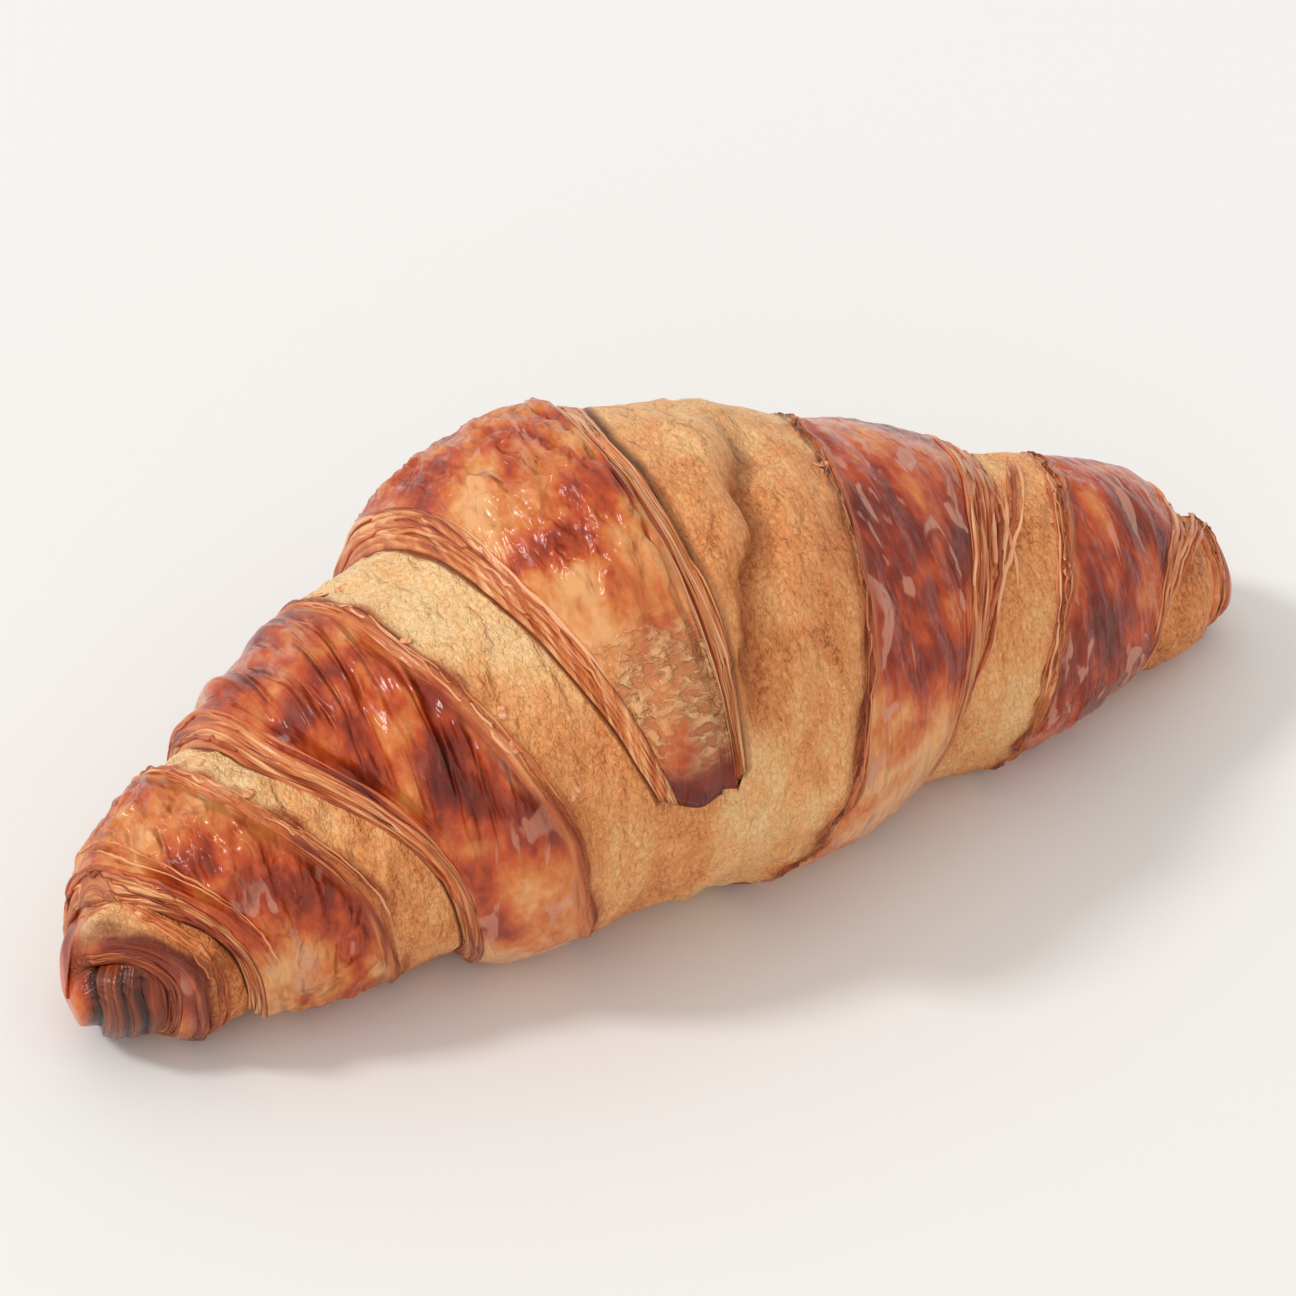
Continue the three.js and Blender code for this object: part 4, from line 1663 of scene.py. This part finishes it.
@dataclass(frozen=True)
class BakedCrust:
    """Baked laminated dough with brushed egg wash.

    The washed bands are glossy and red brown where the oven caught them, the bands that opened
    while rising are matte, pale gold and fibrous, and the cut edges show fine layers.
    """

    name: str = "egg_washed_baked_crust"
    pale: tuple = (
        (0.0, "#FCD49A"), (0.3, "#F7C080"), (0.58, "#F2A664"), (0.84, "#E08A4A"), (1.0, "#B4642F")
    )
    glaze: tuple = (
        (0.05, "#E4A468"), (0.26, "#D27838"), (0.45, "#BC4A1B"), (0.64, "#8E2C0F"), (0.9, "#651B0A")
    )
    edges: tuple = ((0.1, "#7E3014"), (0.38, "#B25628"), (0.62, "#D27B42"), (0.9, "#EDB078"))
    # Char of the burst end, whose darkest colours are painted shade deep in the slits
    burnt: tuple = ((0.0, "#C4764A"), (0.35, "#94482A"), (0.7, "#4A2418"), (1.0, "#2A1812"))
    masks: tuple = (
        "glaze_depth", "layered", "leaf", "browning", "blistered", "burnt", "relief", "film",
        "creased", "near_lip", "wrinkled", "crumpled", "bubbled", "fibrous", "dark_edge",
    )
    # Chance patterns: pitch along X and round the roll in millimetres, detail and waver
    patterns: dict = field(
        default_factory=lambda: {
            "fibre": (0.5, 0.8, 4.0, 0.9),
            "patch": (11.0, 10.0, 1.5, 0.3),
            "streak": (3.8, 9.0, 2.0, 0.7),
            "fine": (0.8, 1.5, 3.0, 0.4),
            "film_spread": (4.4, 13.0, 2.5, 1.4),
            "plate": (1.9, 1.2, 3.0, 0.4),
            "strand": (0.75, 18.0, 2.0, 0.2),
            "wrinkle": (1.8, 13.0, 1.0, 0.5),
            "crumple": (2.4, 4.6, 1.5, 0.6),
        }
    )
    # Sums: where each begins, and the weights of what it adds up
    sums: dict = field(
        default_factory=lambda: {
            "wavy_depth": (-0.6, {"glaze_depth": 1.0, "streak": 1.2}),
            "pale": (-1.3, {"browning": 0.7, "fibre": 1.0, "patch": 0.8, "streak": 0.8}),
            # The relief term paints the glaze lighter on ridges and darker in hollows, as light and
            # shade
            "glaze": (
                -1.2, {"browning": 1.0, "streak": 0.75, "patch": 1.3, "fine": 0.36, "relief": -0.08}
            ),
            # The leaf term paints the edges lighter at each leaf's edge and darker as shade at the
            # foot under it
            "edges": (-0.36, {"strand": 1.6, "leaf": 0.3, "dark_edge": -0.4}),
            # Char that the slit depth paints darker as shade deep in each slit
            "scorch": (-0.5, {"leaf": 0.75, "strand": 1.5}),
        }
    )
    # Soft steps: what is read, and where it is 0 and where 1
    steps: dict = field(
        default_factory=lambda: {
            "plates": ("plate", 0.38, 0.64),
            "broken": ("patch", 0.3, 0.5),
            "glazed": ("wavy_depth", -0.5, 0.3),
            "dull": ("wavy_depth", 0.4, -0.5),
            "film_islands": ("film_spread", 0.585, 0.63),
        }
    )
    # Joins: how, and which two
    joins: dict = field(
        default_factory=lambda: {
            "blisters": ("MULTIPLY", "blistered", "broken"),
            "blister_plates": ("MULTIPLY", "blisters", "plates"),
            "film_patches": ("MULTIPLY", "film_islands", "film"),
            "layers_or_lip": ("MAXIMUM", "layered", "near_lip"),
            "roped": ("MAXIMUM", "layers_or_lip", "burnt"),
        }
    )
    # What covers the pale crust, lowest first: where, how fully, and its run or its one colour.
    # The glaze, a milky sheen painted as a reflection, the gaps and plates of blistered glaze with
    # the gaps painted darker as shade, painted shade in the fold's crease, edges, and char that is
    # painted darker deep in the slits as shade
    covers: tuple = (
        ("glazed", 1.0, "glaze"),
        ("film_patches", 0.7, "#CC8E76"),
        # Gaps between the blistered plates, partly painted darker as shade in the recesses
        ("blisters", 0.7, "#C07A48"),
        ("blister_plates", 1.0, "#DEA56E"),
        ("creased", 0.75, "#A05424"),
        ("layered", 1.0, "edges"),
        ("burnt", 1.0, "scorch"),
    )
    roughness: tuple = (0.12, {"dull": 0.28, "patch": 0.2, "layered": 0.08})
    # Bumps: pattern, where it stands, and height in millimetres
    bumps: tuple = (
        ("fibre", "dull", 0.7),
        ("strand", "roped", 0.7),
        ("wrinkle", "wrinkled", 3.6),
        ("crumple", "crumpled", 1.6),
        ("crumple", "bubbled", 2.8),
        ("crumple", "fibrous", 2.4),
    )
    even_bumps: dict = field(default_factory=lambda: {"fine": 0.12, "blister_plates": 0.5})
    index: float = 1.42
    coat: float = 0.06
    coat_roughness: float = 0.12

    def build(self) -> bpy.types.Material:
        """Makes the material.

        Returns:
            The material, read on Object coordinates and the body's masks.
        """
        material, tree = new_material(self.name)
        signals = self.read_patterns(tree)
        for name, total in self.sums.items():
            signals[name] = self.add_up(tree, signals, total)
        for name, (source, start, end) in self.steps.items():
            signals[name] = self.step(tree, signals[source], start, end)
        for name, (operation, one, other) in self.joins.items():
            pair = {0: signals[one], 1: signals[other]}
            signals[name] = add_node(tree, "ShaderNodeMath", {"operation": operation}, pair)
        runs = {"glaze": self.glaze, "edges": self.edges, "scorch": self.burnt}
        skin = shade(tree, signals["pale"], self.pale)
        for place, share, colour in self.covers:
            cover = shade(tree, signals[colour], runs[colour]) if colour in runs else linear(colour)
            full = weighted_sum(tree, 0.0, ((signals[place], share),))
            skin = add_node(
                tree, "ShaderNodeMix", {"data_type": "RGBA"}, {"Factor": full, 6: skin, 7: cover}
            ).outputs[2]
        waves = tuple(
            (weighted_sum(tree, 0.0, ((signals[one], signals[place]),)), height)
            for one, place, height in self.bumps
        )
        height = weighted_sum(tree, self.add_up(tree, signals, (0.0, self.even_bumps)), waves)
        bump = add_node(
            tree, "ShaderNodeBump", {}, {"Strength": 1.0, "Distance": MM, "Height": height}
        )
        settings = {
            "Base Color": skin,
            "Roughness": self.add_up(tree, signals, self.roughness),
            "Normal": bump,
            "IOR": self.index,
            "Coat Weight": self.coat,
            "Coat Roughness": self.coat_roughness,
        }
        close_material(tree, settings)
        return material

    def read_patterns(self, tree: bpy.types.NodeTree) -> dict:
        """Adds the body's masks and the chance patterns.

        Args:
            tree: tree that gets them.

        Returns:
            Name to the socket that gives it.
        """
        signals = {
            name: add_node(tree, "ShaderNodeAttribute", {"attribute_name": name}).outputs["Fac"]
            for name in self.masks
        }
        spot = add_node(tree, "ShaderNodeTexCoord").outputs["Object"]
        flow = add_node(tree, "ShaderNodeAttribute", {"attribute_name": "flow"}).outputs["Vector"]
        for name, (along, around, detail, waver) in self.patterns.items():
            # The flow is in millimetres and places are in metres
            source, unit = (flow, 1.0) if name == "strand" else (spot, MM)
            scale = (1 / (along * unit), 1 / (around * unit), 1 / (around * unit))
            scaled = add_node(tree, "ShaderNodeMapping", {}, {"Vector": source, "Scale": scale})
            noise = {"Vector": scaled, "Scale": 1.0, "Detail": detail, "Distortion": waver}
            signals[name] = add_node(tree, "ShaderNodeTexNoise", {}, noise).outputs[0]
        return signals

    def add_up(self, tree: bpy.types.NodeTree, signals: dict, total: tuple) -> bpy.types.Node:
        """Adds up signals times their weights, from the number that the sum begins at."""
        base, weights = total
        return weighted_sum(tree, base, tuple((signals[name], w) for name, w in weights.items()))

    def step(
        self, tree: bpy.types.NodeTree, value: bpy.types.NodeSocket, start: float, end: float
    ) -> bpy.types.Node:
        """Adds a smooth step, which goes down if start is past end.

        Args:
            tree: tree that gets the step.
            value: what is read.
            start: value where the step is 0.
            end: value where it is 1.

        Returns:
            The step's node.
        """
        low, high = min(start, end), max(start, end)
        rising = float(start < end)
        limits = {"From Min": low, "From Max": high, "To Min": 1 - rising, "To Max": rising}
        soft = {"interpolation_type": "SMOOTHSTEP"}
        return add_node(tree, "ShaderNodeMapRange", soft, {"Value": value, **limits})


@dataclass(frozen=True)
class StrandDough:
    """Browned dough edges: semi-gloss, from dark red brown to light orange, streaked along."""

    name: str = "browned_dough_edges"
    tones: tuple = ((0.1, "#843216"), (0.4, "#B9582E"), (0.65, "#D67E48"), (0.9, "#EDB080"))
    streak_pitch: float = 7.0
    streak_detail: float = 3.0
    darkest: float = -0.4
    tone_weight: float = 0.7
    streak_weight: float = 1.1
    roughness: float = 0.36
    index: float = 1.45

    def build(self) -> bpy.types.Material:
        """Makes the material.

        Returns:
            The material, read on the strands' own tone and flow.
        """
        material, tree = new_material(self.name)
        flow, tone = (
            add_node(tree, "ShaderNodeAttribute", {"attribute_name": name})
            for name in ("flow", "tone")
        )
        scaled = add_node(
            tree,
            "ShaderNodeMapping",
            {},
            {"Vector": flow.outputs["Vector"], "Scale": (1.0, 1 / self.streak_pitch, 1.0)},
        )
        settings = {"Vector": scaled, "Scale": 1.0, "Detail": self.streak_detail}
        noise = add_node(tree, "ShaderNodeTexNoise", {}, settings)
        terms = ((tone.outputs["Fac"], self.tone_weight), (noise, self.streak_weight))
        skin = shade(tree, weighted_sum(tree, self.darkest, terms), self.tones)
        settings = {"Base Color": skin, "Roughness": self.roughness, "IOR": self.index}
        close_material(tree, settings)
        return material


@dataclass(frozen=True)
class PaleTable:
    """Plain matte painted board: even, slightly warm and off-white."""

    name: str = "matte_off_white_board"
    colour: str = "#EBEBE8"
    roughness: float = 0.9
    specular: float = 0.1

    def build(self) -> bpy.types.Material:
        """Makes the material.

        Returns:
            The material.
        """
        material, tree = new_material(self.name)
        settings = {
            "Base Color": linear(self.colour),
            "Roughness": self.roughness,
            "Specular IOR Level": self.specular,
        }
        close_material(tree, settings)
        return material


@dataclass(frozen=True)
class SoftLight:
    """One soft lamp: where it stands from the croissant, in metres, its size and its power."""

    name: str
    place: tuple
    size: float
    watts: float
    colour: str = "#FFFFFF"


@dataclass(frozen=True)
class Studio:
    """Camera, pale floor and soft light."""

    target: tuple = (-1.69, 2.33, 25.0)
    distance: float = 560.0
    azimuth: float = 28.63
    elevation: float = 40.0
    focal_pixels: float = 4648.0
    image_pixels: float = 1296.0
    sensor: float = 36.0
    nearest: float = 0.01
    floor_half: float = 3.0
    lamps: tuple = (
        SoftLight("key", (-3.7, 1.73, 4.08), 1.05, 134.0, "#FCFCFF"),
        SoftLight("front_fill", (-1.4, -2.0, 1.5), 2.0, 6.0, "#FFF8F2"),
    )
    sky_colour: str = "#FFFCFA"
    sky_strength: float = 0.8

    def set_up(self) -> None:
        """Places everything that isn't the croissant."""
        scene = bpy.context.scene
        scene.view_settings.view_transform = "Standard"
        around, up = math.radians(self.azimuth), math.radians(self.elevation)
        level = math.cos(up)
        back = Vector((-math.sin(around) * level, -math.cos(around) * level, math.sin(up)))
        target = Vector(self.target) * MM
        camera = bpy.data.objects.new("Camera", bpy.data.cameras.new("Camera"))
        scene.collection.objects.link(camera)
        camera.location = target + back * self.distance * MM
        camera.rotation_euler = (-back).to_track_quat("-Z", "Y").to_euler()
        camera.data.sensor_width = self.sensor
        camera.data.lens = self.sensor * self.focal_pixels / self.image_pixels
        camera.data.clip_start = self.nearest
        scene.camera = camera
        half = self.floor_half / MM
        corners = np.array([(-half, -half, 0), (half, -half, 0), (half, half, 0), (-half, half, 0)])
        floor = make_piece("floor", corners, [[0, 1, 2, 3]])
        floor.data.materials.append(PaleTable().build())
        for lamp in self.lamps:
            data = bpy.data.lights.new(lamp.name, "AREA")
            data.shape = "DISK"
            data.size = lamp.size
            data.energy = lamp.watts
            data.color = linear(lamp.colour)[:3]
            light = bpy.data.objects.new(lamp.name, data)
            scene.collection.objects.link(light)
            light.location = lamp.place
            light.rotation_euler = (-Vector(lamp.place)).to_track_quat("-Z", "Y").to_euler()
        world = bpy.data.worlds.new("Studio")
        world.use_nodes = True
        background = world.node_tree.nodes["Background"]
        background.inputs["Color"].default_value = linear(self.sky_colour)
        background.inputs["Strength"].default_value = self.sky_strength
        scene.world = world


def main() -> None:
    """Builds the studio and the croissant."""
    logging.basicConfig(level=logging.INFO, format="%(name)s %(message)s")
    Studio().set_up()
    dough = RolledDough()
    body = CroissantBody(dough, BurstEnd(), CrustRelief(), CrustZones())
    body = body.build(BakedCrust().build())
    edges = StrandDough().build()
    strands = LayerStrands(dough).build(body, edges)
    flakes = Flakes().build(body, edges)
    for piece in (body, strands, flakes):
        settle(piece)


if __name__ == "__main__":
    main()
